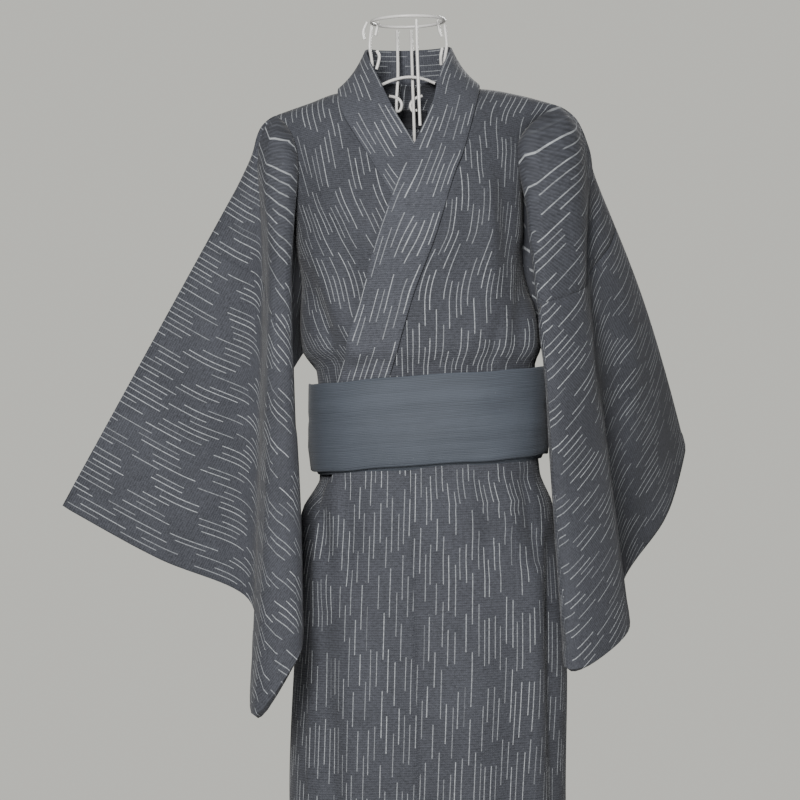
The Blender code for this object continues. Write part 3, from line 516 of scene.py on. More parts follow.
class Fan:
    """The folded sheet that hangs from one shoulder tip. side is -1 at -X and +1 at +X."""

    def __init__(self, tip, rulings, side, bow, folds, lean):
        self.tip = tip
        self.bow = bow
        self.lean = lean
        self.side = side
        self.folds = folds
        self.angles = [row[1] for row in rulings]
        self.starts = [Vector(row[2]) for row in rulings]
        self.ends = [Vector(row[3]) for row in rulings]
        self.known = {}

    def ruling(self, angle):
        key = round(angle, 5)
        if key not in self.known:
            start = through(self.angles, self.starts, angle)
            self.known[key] = (start, through(self.angles, self.ends, angle))
        return self.known[key]

    def middle(self, angle, distance):
        """Straight along the ruling, and rounded up to the shoulder tip over the cap."""
        start, end = self.ruling(angle)
        over_cap = max(0.0, 1 - distance / CAP_ROUND) ** 2
        share = distance / reach_of(angle)
        bow = self.bow * math.sin(math.pi * min(1.0, share)) * smooth(FOLD_BOW_END, 0.0, angle)
        return start.lerp(end, share) + (self.tip - start) * over_cap + Vector((bow, 0.0, 0.0))

    def normal(self, angle, distance):
        """Towards the face that a viewer in front sees on the flat part."""
        near = max(distance, 0.02)
        low = max(angle - 1.0, 0.0)
        high = min(angle + 1.0, self.angles[-1])
        across = self.middle(high, near) - self.middle(low, near)
        along = self.middle(angle, near) - self.tip
        return (across.cross(along) * self.side).normalized()

    def half_gap(self, angle, distance):
        cap = CAP_BULGE * distance * math.exp(-distance / CAP_REACH)
        swell = LAYER_SWELL * smooth(0.08, 0.30, distance) * smooth(35.0, 18.0, angle)
        steady = LAYER_GAP * (1 - math.exp(-distance / 0.010)) + swell
        return (cap + steady) * math.sqrt(min(1.0, angle / FOLD_TURN))

    def cloth_u(self, angle, across):
        """Across the cloth; the threads lean more on the roll, where the sleeve is drawn forward."""
        low, high, amount, near = self.lean
        return TIP_U + across - amount * (1 - math.exp(-across / near)) * smooth(low, high, angle)

    def layer(self, angle, distance, face):
        """A point of the front layer (face +1) or the back layer (face -1), folds and seams included."""
        lean = math.radians(angle)
        s, t = distance * math.cos(lean), distance * math.sin(lean)
        out = self.half_gap(angle, distance) * face
        out += relief(self.folds, s, t) * smooth(0.0, 12.0, angle)
        out -= face * SEAM_DIP * math.exp(-((s - ARMHOLE_S) / SEAM_DIP_WIDTH) ** 2) * smooth(0.0, 8.0, angle)
        return self.middle(angle, distance) + self.normal(angle, distance) * out


# How the threads lean: angles where the lean starts and is full, how far, distance from the tip to reach it.
RIGHT_LEAN = (22.0, 58.0, 0.085, 0.120)
LEFT_LEAN = (12.0, 54.0, 0.125, 0.140)
RIGHT_FAN = Fan(RIGHT_TIP, RIGHT_RULINGS, -1, 0.0, RIGHT_SLEEVE_FOLDS, RIGHT_LEAN)
LEFT_FAN = Fan(LEFT_TIP, LEFT_RULINGS, 1, FOLD_BOW, LEFT_SLEEVE_FOLDS, LEFT_LEAN)
BODY_FAN_END = 54.5       # the body panel's share of the fan ends at this angle
SLEEVE_FAN_END = 68.6     # and the sleeve's share at this one
UNDERARM_DROP = 0.318     # the armhole's foot on the trunk
SIDE_OPEN_TURN = 87.0     # degrees from the front to the panel's side edge at the shoulder
SIDE_SEAM_TURN = 89.9     # and below the armhole


# ---- Meshes ------------------------------------------------------------------------------------------
def finished(name, mesh):
    """An object at the origin for a finished mesh, smooth but for its real corners."""
    mesh.validate()
    mesh.shade_smooth()
    mesh.set_sharp_from_angle(angle=math.radians(SHARP_ANGLE))
    piece = bpy.data.objects.new(name, mesh)
    bpy.context.scene.collection.objects.link(piece)
    return piece


class Sheet:
    """Grids of points with the cloth's own coordinates, made into one wall with rounded edges."""

    def __init__(self):
        self.bm = bmesh.new()
        self.layer = self.bm.loops.layers.uv.new("cloth")

    def grid(self, rows, flip=False):
        """rows hold (point, (u, v)) pairs; a face's front is the side the rows and columns turn to."""
        corners = [[self.bm.verts.new(point) for point, _ in row] for row in rows]
        for i in range(len(rows) - 1):
            for j in range(len(rows[0]) - 1):
                ring = [(i, j), (i, j + 1), (i + 1, j + 1), (i + 1, j)]
                if flip:
                    ring.reverse()
                face = self.bm.faces.new([corners[a][b] for a, b in ring])
                for loop, (a, b) in zip(face.loops, ring):
                    loop[self.layer].uv = rows[a][b][1]

    def wall(self, name, thickness):
        """Close the sheet to a wall, half of its thickness to each side, with a rounded rim."""
        bm = self.bm
        bmesh.ops.remove_doubles(bm, verts=bm.verts, dist=WELD_DISTANCE)
        bmesh.ops.dissolve_degenerate(bm, edges=bm.edges, dist=SLIVER)
        bmesh.ops.delete(bm, geom=[vert for vert in bm.verts if not vert.link_faces], context="VERTS")
        bm.normal_update()
        bm.verts.index_update()
        half = thickness / 2
        count = len(bm.verts)
        points = [vert.co + vert.normal * half for vert in bm.verts]
        points += [vert.co - vert.normal * half for vert in bm.verts]
        faces, coords = [], []
        for face in bm.faces:
            ring = [loop.vert.index for loop in face.loops]
            uv = [tuple(loop[self.layer].uv) for loop in face.loops]
            faces.append(ring)
            coords.append(uv)
            faces.append([count + i for i in reversed(ring)])
            coords.append(uv[::-1])
        rim = {}
        for edge in bm.edges:
            if len(edge.link_faces) == 1:
                loop = edge.link_loops[0]
                a, b = loop.vert, loop.link_loop_next.vert
                uv_a, uv_b = tuple(loop[self.layer].uv), tuple(loop.link_loop_next[self.layer].uv)
                for vert in (a, b):
                    if vert.index not in rim:
                        inside = Vector()
                        for face in vert.link_faces:
                            inside += face.calc_center_median() - vert.co
                        inside -= vert.normal * inside.dot(vert.normal)
                        rim[vert.index] = len(points)
                        points.append(vert.co - inside.normalized() * half * RIM_ROUND)
                faces.append([b.index, a.index, rim[a.index], rim[b.index]])
                coords.append([uv_b, uv_a, uv_a, uv_b])
                faces.append([rim[b.index], rim[a.index], count + a.index, count + b.index])
                coords.append([uv_b, uv_a, uv_a, uv_b])
        bm.free()
        mesh = bpy.data.meshes.new(name)
        mesh.from_pydata([tuple(point) for point in points], [], faces)
        layer = mesh.uv_layers.new(name="cloth")
        flat = [value for uv in coords for pair in uv for value in pair]
        layer.uv.foreach_set("vector", flat)
        return finished(name, mesh)


def measured(points, start_u, sign, v_of):
    """Give a row of points its u, measured along the row from its first point, and its v."""
    row = []
    u = start_u
    for i, point in enumerate(points):
        if i:
            u += sign * (point - points[i - 1]).length
        row.append((point, (u, v_of)))
    return row


# ---- Cloth pieces --------------------------------------------------------------------------------------
UPPER_ROWS = refine([0.0, 0.004, 0.012, 0.030, 0.055, 0.090, 0.135, 0.190, 0.250, 0.290, 0.318], ROW_STEP)
LOWER_ROWS = refine([0.318, 0.340, 0.355, 0.470, 0.480, 0.515, 1.333], LOW_ROW_STEP)


def side_turn(drop):
    """Angle of the panel's side edge: apart under the arm, meeting below the armhole."""
    return SIDE_OPEN_TURN + (SIDE_SEAM_TURN - SIDE_OPEN_TURN) * smooth(0.20, 0.318, drop)


def hem_fold(drop):
    """The hem is turned up double."""
    return HEM_FOLD * smooth(HEM_FOLD_DROP, HEM_FOLD_DROP + 0.004, drop)


def edge_dip(distance):
    """A sewn edge sinks into its seam."""
    return -SEAM_DIP * math.exp(-(distance / SEAM_DIP_WIDTH) ** 2)


def body_panel(name, side, fan, edge_table, seam_x, out, side_u):
    """One length of cloth: front, shoulder and back, with the stretch that hangs out to the armhole."""
    sheet = Sheet()
    flip = side < 0
    columns = PANEL_COLUMNS

    def front_row(drop):
        edge = flowing(edge_table, drop)
        edge = max(edge, seam_x) if side > 0 else min(edge, seam_x)
        start = side * side_turn(drop)
        stop = turn_of(drop, edge)
        turns = [start + (stop - start) * j / columns for j in range(columns + 1)]
        points = []
        for turn in turns:
            point = trunk_point(drop, turn)
            dip = edge_dip(abs(point.x - edge)) if edge == seam_x else 0.0
            below = smooth(0.33, 0.36, drop)
            side_dip = edge_dip((90 - abs(turn)) * SEAM_PER_DEGREE) * below
            points.append(trunk(drop, turn, panel_out(drop, turn, out) + dip + side_dip + hem_fold(drop)))
        row = measured(points, flowing(side_u, drop), -1, linear(FRONT_DOWN, drop))
        kept = smooth(0.18, 0.27, drop)
        drift = side * SKIRT_LEAN * max(0.0, drop - WAIST_DROP)
        first, last = row[0][1][0], row[-1][1][0]
        stretch = 1 + kept * ((first - SEAM_U[side]) / (first - last) - 1)
        return [(point, (first + (u - first) * stretch + drift, v)) for point, (u, v) in row]

    def back_row(drop):
        start = side * (180.0 - side_turn(drop))
        neck = linear(((0.0, NECK_HALF_WIDTH - 0.005), (0.004, 0.055), (0.012, 0.0)), drop)
        stop = side * 180.0
        if neck > 0:
            stop = side * (180.0 - abs(turn_of(drop, side * neck)))
        turns = [start + (stop - start) * j / columns for j in range(columns + 1)]
        points = []
        for turn in turns:
            dip = edge_dip((180 - abs(turn)) * SEAM_PER_DEGREE)
            below = smooth(0.33, 0.36, drop)
            side_dip = edge_dip((abs(turn) - 90) * SEAM_PER_DEGREE) * below
            points.append(trunk(drop, turn, dip + side_dip + hem_fold(drop)))
        if neck <= 0:
            points[-1].x += side * SEAM_GAP / 2
        return measured(points, flowing(BACK_SIDE_U, drop), -1, -linear(BACK_DOWN, drop))

    angles = refine([0.0, 1.0, 3.0, 7.0, BODY_FAN_END], FAN_STEP)

    def fan_row(share, face):
        row = []
        for angle in reversed(angles):
            lean = math.radians(angle)
            distance = (ARMHOLE_S - SEAM_GAP) / math.cos(lean) * share
            across, down = distance * math.cos(lean), distance * math.sin(lean)
            row.append((fan.layer(angle, distance, face), (fan.cloth_u(angle, across), face * down)))
        return row

    shares = [drop / UNDERARM_DROP for drop in UPPER_ROWS]
    front = [front_row(drop)[::-1] + fan_row(share, 1) for drop, share in zip(UPPER_ROWS, shares)]
    back = [back_row(drop)[::-1] + fan_row(share, -1) for drop, share in zip(UPPER_ROWS, shares)]
    sheet.grid(front, not flip)
    sheet.grid(back, flip)
    sheet.grid([front_row(drop)[::-1] for drop in LOWER_ROWS], not flip)
    sheet.grid([back_row(drop)[::-1] for drop in LOWER_ROWS], flip)
    return sheet.wall(name, bpy.context.scene.yukata_sizes.cloth_wall)


def overlap_panel(name, side, edge_table, seam_x, out, first_drop):
    """The half-width piece from the body panel's seam to the front edge."""
    sheet = Sheet()
    drops = [first_drop] + [drop for drop in UPPER_ROWS if drop > first_drop + 0.004] + LOWER_ROWS[1:]
    rows = []
    columns = OVERLAP_COLUMNS
    for drop in drops:
        first = seam_x - side * SEAM_GAP
        last = flowing(edge_table, drop)
        start, stop = turn_of(drop, first), turn_of(drop, last)
        points = []
        for j in range(columns + 1):
            turn = start + (stop - start) * j / columns
            x = trunk_point(drop, turn).x
            lift = edge_dip(abs(x - first)) + hem_fold(drop)
            points.append(trunk(drop, turn, panel_out(drop, turn, out) + lift))
        lean = -side * SKIRT_LEAN * max(0.0, drop - WAIST_DROP)
        rows.append(measured(points, 0.004 + lean, 1, linear(FRONT_DOWN, drop) + OVERLAP_DOWN))
    sheet.grid(rows, side < 0)
    return sheet.wall(name, bpy.context.scene.yukata_sizes.cloth_wall)


def sleeve(name, fan):
    """Both layers of one sleeve, joined at the top fold, the lower cuff and the bottom."""
    sheet = Sheet()
    flip = fan.side < 0
    closes_from = math.degrees(math.atan2(CUFF_OPENING, CUFF_S))
    corner = math.degrees(math.atan2(SLEEVE_DROP, CUFF_S))
    angles = refine([0.0, 1.0, 3.0, 7.0, closes_from, corner, SLEEVE_FAN_END], FAN_STEP)
    shares = refine([0.0, 0.03, 0.94, 0.985, 1.0], 0.022)

    def layer_rows(face):
        rows = []
        for share in shares:
            row = []
            for angle in angles:
                lean = math.radians(angle)
                near = (ARMHOLE_S + SEAM_GAP) / math.cos(lean)
                far = reach_of(angle) - SLEEVE_INSET
                distance = near + (far - near) * share
                point = fan.layer(angle, distance, face)
                turned_up = CUFF_FOLD * smooth(far - CUFF_TURN, far - CUFF_TURN + 0.003, distance)
                point += fan.normal(angle, distance) * face * turned_up
                across, down = distance * math.cos(lean), distance * math.sin(lean)
                row.append((point, (fan.cloth_u(angle, across), face * (down + SLEEVE_DOWN))))
            rows.append(row)
        return rows

    front = layer_rows(1)
    back = layer_rows(-1)
    sheet.grid(front, flip)
    sheet.grid(back, not flip)
    closed = [j for j, angle in enumerate(angles) if angle >= closes_from - 0.1]
    joint = []
    for j in closed:
        point = fan.middle(angles[j], reach_of(angles[j]))
        joint.append((point, front[-1][j][1]))
    sheet.grid([[front[-1][j] for j in closed], joint], flip)
    joint = [(point, back[-1][j][1]) for (point, _), j in zip(joint, closed)]
    sheet.grid([joint, [back[-1][j] for j in closed]], flip)
    return sheet.wall(name, bpy.context.scene.yukata_sizes.cloth_wall)


def collar_band(name):
    """One long band: down the left front, round the neck, and down the right front underneath."""
    columns = COLLAR_COLUMNS
    drops = [0.090, 0.110, 0.135, 0.160, 0.190, 0.220, 0.250, 0.270, 0.290, 0.305, 0.318, 0.340, 0.370,
             0.395, 0.440]

    def on_chest(table, out):
        rows = []
        for drop in drops:
            inner = turn_of(drop, flowing([(row[0], row[1]) for row in table], drop))
            outer = turn_of(drop, flowing([(row[0], row[2]) for row in table], drop))
            turns = [inner + (outer - inner) * j / columns for j in range(columns + 1)]
            rows.append([trunk(drop, turn, out) for turn in turns])
        return rows

    def at_neck(row):
        inner, outer = Vector(row[0]), Vector(row[1])
        return [inner.lerp(outer, j / columns) for j in range(columns + 1)]

    rows = on_chest(LEFT_CHEST_BAND, OVER_BAND_OUT)[::-1]
    rows += [at_neck(row) for row in reversed(LEFT_NECK_BAND)]
    rows.append(at_neck(NAPE_BAND))
    rows += [at_neck(row) for row in RIGHT_NECK_BAND]
    rows += on_chest(RIGHT_CHEST_BAND, UNDER_BAND_OUT)
    middle = columns // 2
    knots = [0.0]
    for before, after in zip(rows, rows[1:]):
        knots.append(knots[-1] + (after[middle] - before[middle]).length)
    lines = [[row[j] for row in rows] for j in range(columns + 1)]
    places = refine(knots, COLLAR_STEP)
    fine = []
    for place in places:
        points = [through(knots, line, place) for line in lines]
        low, high = max(place - 0.003, 0.0), min(place + 0.003, knots[-1])
        along = through(knots, lines[middle], high) - through(knots, lines[middle], low)
        face = (points[-1] - points[0]).cross(along).normalized()
        row = []
        for j, point in enumerate(points):
            share = j / columns
            ripple = 0.0005 * math.sin(place * 61.0) * math.sin(place * 23.0)
            puff = 0.0009 * math.sin(math.pi * share) + ripple
            row.append((point - face * puff, (0.003 + 0.058 * share, place)))
        fine.append(row)
    sheet = Sheet()
    sheet.grid(fine)
    return sheet.wall(name, COLLAR_THICKNESS)


def belt_point(height, turn, out):
    """A point of the belt, which is tilted a little about the front-to-back axis."""
    level = trunk(NECK_POINT_Z - height, turn, out, folded=False)
    return Vector((level.x, level.y, height + (level.x - BELT_CENTRE_X) * BELT_TILT))


def belt_turn(name, heights, out, sway, tuck):
    """One turn of the belt, a band with faint creases, a slightly wandering edge and its foot tucked in."""
    steps = 220
    levels = 22
    middle = (heights[0] + heights[1]) / 2
    rows = []
    for i in range(levels + 1):
        height = heights[0] + (heights[1] - heights[0]) * i / levels
        rise = 2 * i / levels - 1
        row = []
        for j in range(steps + 1):
            turn = BELT_END_TURN * (2 * j / steps - 1)
            wave = math.radians(turn)
            ease = 0.0006 * math.sin(3.1 * wave + 2.0 * rise + sway)
            ease += 0.0005 * math.sin(7.3 * wave - 3.4 * rise)
            crease = -0.0009 * math.exp(-((rise - 0.10 - 0.12 * math.sin(wave + sway)) / 0.10) ** 2)
            crease += 0.0007 * math.exp(-((rise + 0.42 - 0.10 * math.sin(1.7 * wave)) / 0.16) ** 2)
            bow = -(0.0012 if rise > 0 else 0.0012 + tuck) * rise ** 4
            point = belt_point(middle, turn, out + ease + crease + bow)
            edge = 0.0007 * math.sin(4.3 * wave + sway) + 0.0004 * math.sin(11.0 * wave)
            row.append((Vector((point.x, point.y, point.z + height - middle + edge * abs(rise))),
                        (0.15 * wave, height)))
        rows.append(row)
    sheet = Sheet()
    sheet.grid(rows)
    return sheet.wall(name, bpy.context.scene.yukata_sizes.belt_wall)


def patch(name, corners, out, thickness, crown, steps=28):
    """A flat-cut piece laid on the back: its corners (x, height) in order round the piece."""
    low_right, low_left, high_left, high_right = [Vector((x, height, 0.0)) for x, height in corners]
    rows = []
    wide, tall = (low_left - low_right).length, (high_right - low_right).length
    for i in range(steps + 1):
        start = low_right.lerp(high_right, i / steps)
        stop = low_left.lerp(high_left, i / steps)
        row = []
        for j in range(steps + 1):
            x, height, _ = start.lerp(stop, j / steps)
            drop = NECK_POINT_Z - height
            side_on = turn_of(drop, x)
            puff = crown * math.sin(math.pi * i / steps) * (0.6 + 0.4 * math.sin(math.pi * j / steps))
            puff += 0.18 * crown * math.sin(9.0 * j / steps + 4.0 * i / steps)
            point = trunk(drop, math.copysign(180.0, side_on) - side_on, out + puff, folded=False)
            row.append((point, (wide * j / steps, tall * i / steps)))
        rows.append(row)
    sheet = Sheet()
    sheet.grid(rows)
    return sheet.wall(name, thickness)


# ---- Node trees --------------------------------------------------------------------------------------
class Nodes:
    """Nodes under construction in one tree."""

    def __init__(self, tree):
        self.tree = tree

    def feed(self, target, source):
        """Link an output to the socket, or set the socket's value."""
        if hasattr(source, "is_output"):
            self.tree.links.new(source, target)
        else:
            target.default_value = source

    def node(self, kind, links=None, **settings):
        made = self.tree.nodes.new(kind)
        for key, value in settings.items():
            setattr(made, key, value)
        for socket, source in (links or {}).items():
            self.feed(made.inputs[socket], source)
        return made


# ---- Geometry Nodes ----------------------------------------------------------------------------------
class Tree(Nodes):
    """A geometry node tree that works on the lines of a mesh."""

    def __init__(self, name, sockets):
        super().__init__(bpy.data.node_groups.new(name, "GeometryNodeTree"))
        sides = self.tree.interface
        sides.new_socket("Geometry", in_out="INPUT", socket_type="NodeSocketGeometry")
        self.keys = {}
        for label, kind, default in sockets:
            socket = sides.new_socket(label, in_out="INPUT", socket_type=kind)
            if default is not None:
                socket.default_value = default
            self.keys[label] = socket.identifier
        sides.new_socket("Geometry", in_out="OUTPUT", socket_type="NodeSocketGeometry")
        self.inputs = self.tree.nodes.new("NodeGroupInput").outputs
        self.end = self.tree.nodes.new("NodeGroupOutput")

    def swept(self, line, sides, radius):
        """Round wire or thread swept along a curve."""
        ring = self.node("GeometryNodeCurvePrimitiveCircle", {"Resolution": sides, "Radius": radius})
        return self.node("GeometryNodeCurveToMesh", {"Curve": line, "Profile Curve": ring.outputs[0],
                                                     "Fill Caps": True}).outputs[0]

    def finish(self, geometry, paint):
        real = self.node("GeometryNodeRealizeInstances", {"Geometry": geometry})
        painted = self.node("GeometryNodeSetMaterial", {"Geometry": real.outputs[0], "Material": paint})
        self.tree.links.new(painted.outputs[0], self.end.inputs[0])


def wire_tree():
    """Round wire along every line of the mesh it is put on, a little uneven like dipped paint."""
    tree = Tree("Form Wire", (
        ("Radius", "NodeSocketFloat", 0.002), ("Unevenness", "NodeSocketFloat", 0.06),
        ("Sides", "NodeSocketInt", 12), ("Paint", "NodeSocketMaterial", None)))
    inputs = tree.inputs
    line = tree.node("GeometryNodeMeshToCurve", {"Mesh": inputs["Geometry"]})
    noise = tree.node("ShaderNodeTexNoise", {"Scale": 60.0, "Detail": 2.0}, noise_dimensions="3D")
    centred = tree.node("ShaderNodeMath", {0: noise.outputs[0], 1: 0.5}, operation="SUBTRACT")
    scaled = tree.node("ShaderNodeMath", {0: centred.outputs[0], 1: inputs["Unevenness"]},
                       operation="MULTIPLY")
    share = tree.node("ShaderNodeMath", {0: scaled.outputs[0], 1: 1.0}, operation="ADD")
    radius = tree.node("GeometryNodeSetCurveRadius", {"Curve": line.outputs[0], "Radius": share.outputs[0]})
    tree.finish(tree.swept(radius.outputs[0], inputs["Sides"], inputs["Radius"]), inputs["Paint"])
    return tree


def stitch_tree():
    """A running stitch of short threads laid along every line of the mesh it is put on."""
    tree = Tree("Running Stitch", (
        ("Spacing", "NodeSocketFloat", 0.004), ("Length", "NodeSocketFloat", 0.0022),
        ("Thread Radius", "NodeSocketFloat", 0.00025), ("Seed", "NodeSocketInt", 3),
        ("Thread", "NodeSocketMaterial", None)))
    inputs = tree.inputs
    line = tree.node("GeometryNodeMeshToCurve", {"Mesh": inputs["Geometry"]})
    spots = tree.node("GeometryNodeResampleCurve", {"Curve": line.outputs[0], "Length": inputs["Spacing"]},
                      mode="LENGTH")
    tangent = tree.node("GeometryNodeInputTangent")
    turned = tree.node("FunctionNodeAlignRotationToVector", {"Vector": tangent.outputs[0]}, axis="Z")
    tall = tree.node("ShaderNodeCombineXYZ", {"Z": inputs["Length"]})
    bit = tree.node("GeometryNodeCurvePrimitiveLine", {"End": tall.outputs[0]})
    thread = tree.swept(bit.outputs[0], 6, inputs["Thread Radius"])
    size = tree.node("FunctionNodeRandomValue", {"Seed": inputs["Seed"]}, data_type="FLOAT")
    size.inputs[2].default_value = 0.8
    size.inputs[3].default_value = 1.15
    laid = tree.node("GeometryNodeInstanceOnPoints", {
        "Points": spots.outputs[0], "Instance": thread, "Rotation": turned.outputs[0],
        "Scale": size.outputs[1]})
    tree.finish(laid.outputs[0], inputs["Thread"])
    return tree


def lines_mesh(name, lines):
    """A mesh of bare edges: each line is (points, closed)."""
    points, edges = [], []
    for line, closed in lines:
        start = len(points)
        points += [tuple(point) for point in line]
        edges += [(start + i, start + i + 1) for i in range(len(line) - 1)]
        if closed:
            edges.append((start + len(line) - 1, start))
    mesh = bpy.data.meshes.new(name)
    mesh.from_pydata(points, edges, [])
    return mesh


def grown(name, mesh, tree, values):
    """Put a tree on a mesh, and keep what it makes as a plain mesh."""
    holder = bpy.data.objects.new(name + "_lines", mesh)
    bpy.context.scene.collection.objects.link(holder)
    modifier = holder.modifiers.new("nodes", "NODES")
    modifier.node_group = tree.tree
    for label, value in values.items():
        modifier[tree.keys[label]] = value
    graph = bpy.context.evaluated_depsgraph_get()
    made = bpy.data.meshes.new_from_object(holder.evaluated_get(graph))
    made.name = name
    bpy.data.objects.remove(holder, do_unlink=True)
    if not made.polygons:
        raise RuntimeError(name + " came out empty")
    bm = bmesh.new()
    bm.from_mesh(made)
    bmesh.ops.recalc_face_normals(bm, faces=bm.faces)
    bm.to_mesh(made)
    bm.free()
    return finished(name, made)


# ---- Shader groups -----------------------------------------------------------------------------------
class Graph(Nodes):
    """Shader nodes under construction, in a material or in a group."""

    def math(self, operation, first, second=0.0, third=None):
        links = {0: first, 1: second}
        if third is not None:
            links[2] = third
        return self.node("ShaderNodeMath", links, operation=operation).outputs[0]

    def times(self, first, second):
        return self.math("MULTIPLY", first, second)

    def plus(self, first, second):
        return self.math("ADD", first, second)

    def times_plus(self, first, second, third):
        return self.math("MULTIPLY_ADD", first, second, third)

    def step(self, value, low, high):
        """0 at low and 1 at high, eased; low may be the greater."""
        made = self.node("ShaderNodeMapRange", {"Value": value, "From Min": low, "From Max": high},
                         interpolation_type="SMOOTHSTEP")
        return made.outputs["Result"]

    def scaled(self, vector, factors):
        return self.node("ShaderNodeVectorMath", {0: vector, 1: factors}, operation="MULTIPLY").outputs[0]

    def noise(self, vector, scale, detail=2.0, roughness=0.5):
        made = self.node("ShaderNodeTexNoise", {"Vector": vector, "Scale": scale, "Detail": detail,
                                                "Roughness": roughness})
        return made.outputs[0]

    def chance(self, *values):
        """A fixed random number for a whole-numbered place."""
        spot = self.node("ShaderNodeCombineXYZ", dict(zip(("X", "Y", "Z"), values))).outputs[0]
        made = self.node("ShaderNodeTexWhiteNoise", {"Vector": spot}, noise_dimensions="3D")
        return made.outputs["Value"]

    def blend(self, share, first, second):
        made = self.node("ShaderNodeMix", {0: share, 6: first, 7: second}, data_type="RGBA")
        return made.outputs[2]

    def cloth(self):
        return self.node("ShaderNodeUVMap", uv_map="cloth").outputs[0]

    def place(self):
        return self.node("ShaderNodeTexCoord").outputs["Object"]

    def bump(self, height, strength, distance):
        made = self.node("ShaderNodeBump", {"Height": height, "Strength": strength, "Distance": distance})
        return made.outputs[0]

    def send(self, source, target):
        self.tree.links.new(source, target)


def shader_group(name, inputs, outputs):
    """An empty shader group with its sockets, its input sockets by name and its output node."""
    tree = bpy.data.node_groups.new(name, "ShaderNodeTree")
    for label, kind, default in inputs:
        socket = tree.interface.new_socket(label, in_out="INPUT", socket_type=kind)
        if default is not None:
            socket.default_value = default
    for label, kind in outputs:
        tree.interface.new_socket(label, in_out="OUTPUT", socket_type=kind)
    graph = Graph(tree)
    start = tree.nodes.new("NodeGroupInput")
    end = tree.nodes.new("NodeGroupOutput")
    return graph, start.outputs, end.inputs


def dash_group():
    """Short light threads woven in along the warp, in columns whose breaks drift from one to the next."""
    graph, given, made = shader_group(
        "Warp Dashes",
        (("Cloth", "NodeSocketVector", None), ("Column", "NodeSocketFloat", 0.0078),
         ("Thread", "NodeSocketFloat", 0.0012), ("Repeat", "NodeSocketFloat", 0.085),
         ("Share", "NodeSocketFloat", 0.58), ("Seed", "NodeSocketFloat", 1.0)),
        (("Dash", "NodeSocketFloat"), ("Height", "NodeSocketFloat")))
    place = graph.node("ShaderNodeSeparateXYZ", {0: given["Cloth"]}).outputs
    lean = graph.noise(graph.scaled(given["Cloth"], (24.0, 9.0, 1.0)), 1.0, 1.0)
    sway = graph.times_plus(lean, 0.0016, place[0])
    across = graph.math("DIVIDE", sway, given["Column"])
    column = graph.math("FLOOR", across)
    jitter = graph.chance(column, given["Seed"], 3.0)
    centre = graph.times_plus(jitter, 0.34, 0.33)
    off = graph.math("ABSOLUTE", graph.math("SUBTRACT", graph.math("FRACT", across), centre))
    off = graph.times(off, given["Column"])
    half = graph.times(given["Thread"], 0.5)
    line = graph.step(off, graph.times(half, 1.35), graph.times(half, 0.55))
    spot = graph.node("ShaderNodeCombineXYZ", {0: graph.times(column, 0.37), 1: given["Seed"]})
    drift = graph.noise(spot.outputs[0], 1.0, 1.0)
    offset = graph.times_plus(drift, 1.7, graph.times(graph.chance(column, 7.0, 1.0), 0.62))
    along = graph.plus(graph.math("DIVIDE", place[1], given["Repeat"]), offset)
    turn = graph.math("FLOOR", along)
    inside = graph.math("FRACT", along)
    start = graph.times(graph.chance(column, turn, 5.0), 0.22)
    spread = graph.times_plus(graph.chance(column, turn, 9.0), 0.6, 0.70)
    length = graph.times(given["Share"], spread)
    begins = graph.step(inside, start, graph.plus(start, 0.012))
    stop = graph.plus(start, length)
    ends = graph.step(inside, graph.plus(stop, 0.012), stop)
    mask = graph.times(graph.times(begins, ends), line)
    kept = graph.step(graph.chance(column, turn, 13.0), 0.02, 0.05)
    bright = graph.times_plus(graph.chance(column, turn, 17.0), 0.50, 0.42)
    worn = graph.noise(graph.scaled(given["Cloth"], (900.0, 260.0, 1.0)), 1.0, 2.0)
    worn = graph.times_plus(graph.step(worn, 0.30, 0.62), 0.5, 0.5)
    mask = graph.times(graph.times(mask, kept), graph.times(bright, worn))
    graph.send(mask, made["Dash"])
    graph.send(mask, made["Height"])
    return graph.tree


def weave_group():
    """Crinkled plain weave: puckers between the threads, fine ribs and slubs."""
    graph, given, made = shader_group(
        "Crinkled Weave",
        (("Cloth", "NodeSocketVector", None), ("Pucker", "NodeSocketFloat", 330.0),
         ("Stretch", "NodeSocketFloat", 1.35), ("Slub", "NodeSocketFloat", 0.5)),
        (("Height", "NodeSocketFloat"), ("Shade", "NodeSocketFloat")))
    place = graph.node("ShaderNodeSeparateXYZ", {0: given["Cloth"]}).outputs
    wide = graph.math("DIVIDE", given["Pucker"], given["Stretch"])
    spot = graph.node("ShaderNodeCombineXYZ", {0: graph.times(place[0], wide),
                                               1: graph.times(place[1], given["Pucker"])}).outputs[0]
    pucker = graph.noise(spot, 1.0, 3.0, 0.62)
    grain = graph.node("ShaderNodeTexVoronoi", {"Vector": spot, "Scale": 1.9}, feature="F1").outputs[0]
    ribs = graph.math("SINE", graph.times_plus(pucker, 2.4, graph.times(place[1], 2150.0)))
    warps = graph.math("SINE", graph.times_plus(pucker, 1.5, graph.times(place[0], 2500.0)))
    threads = graph.times(graph.times_plus(ribs, 0.5, 0.5),
                         graph.times_plus(warps, 0.25, 0.75))
    slub = graph.noise(graph.scaled(given["Cloth"], (38.0, 420.0, 1.0)), 1.0, 2.0)
    slub = graph.times(graph.step(slub, 0.58, 0.72), given["Slub"])
    height = graph.times_plus(pucker, 0.8, graph.times(threads, 0.45))
    height = graph.plus(height, graph.times(slub, 0.25))
    height = graph.times_plus(grain, -0.22, height)
    shade = graph.times_plus(graph.step(pucker, 0.25, 0.75), 0.55, graph.times(threads, 0.45))
    graph.send(height, made["Height"])
    graph.send(shade, made["Shade"])
    return graph.tree


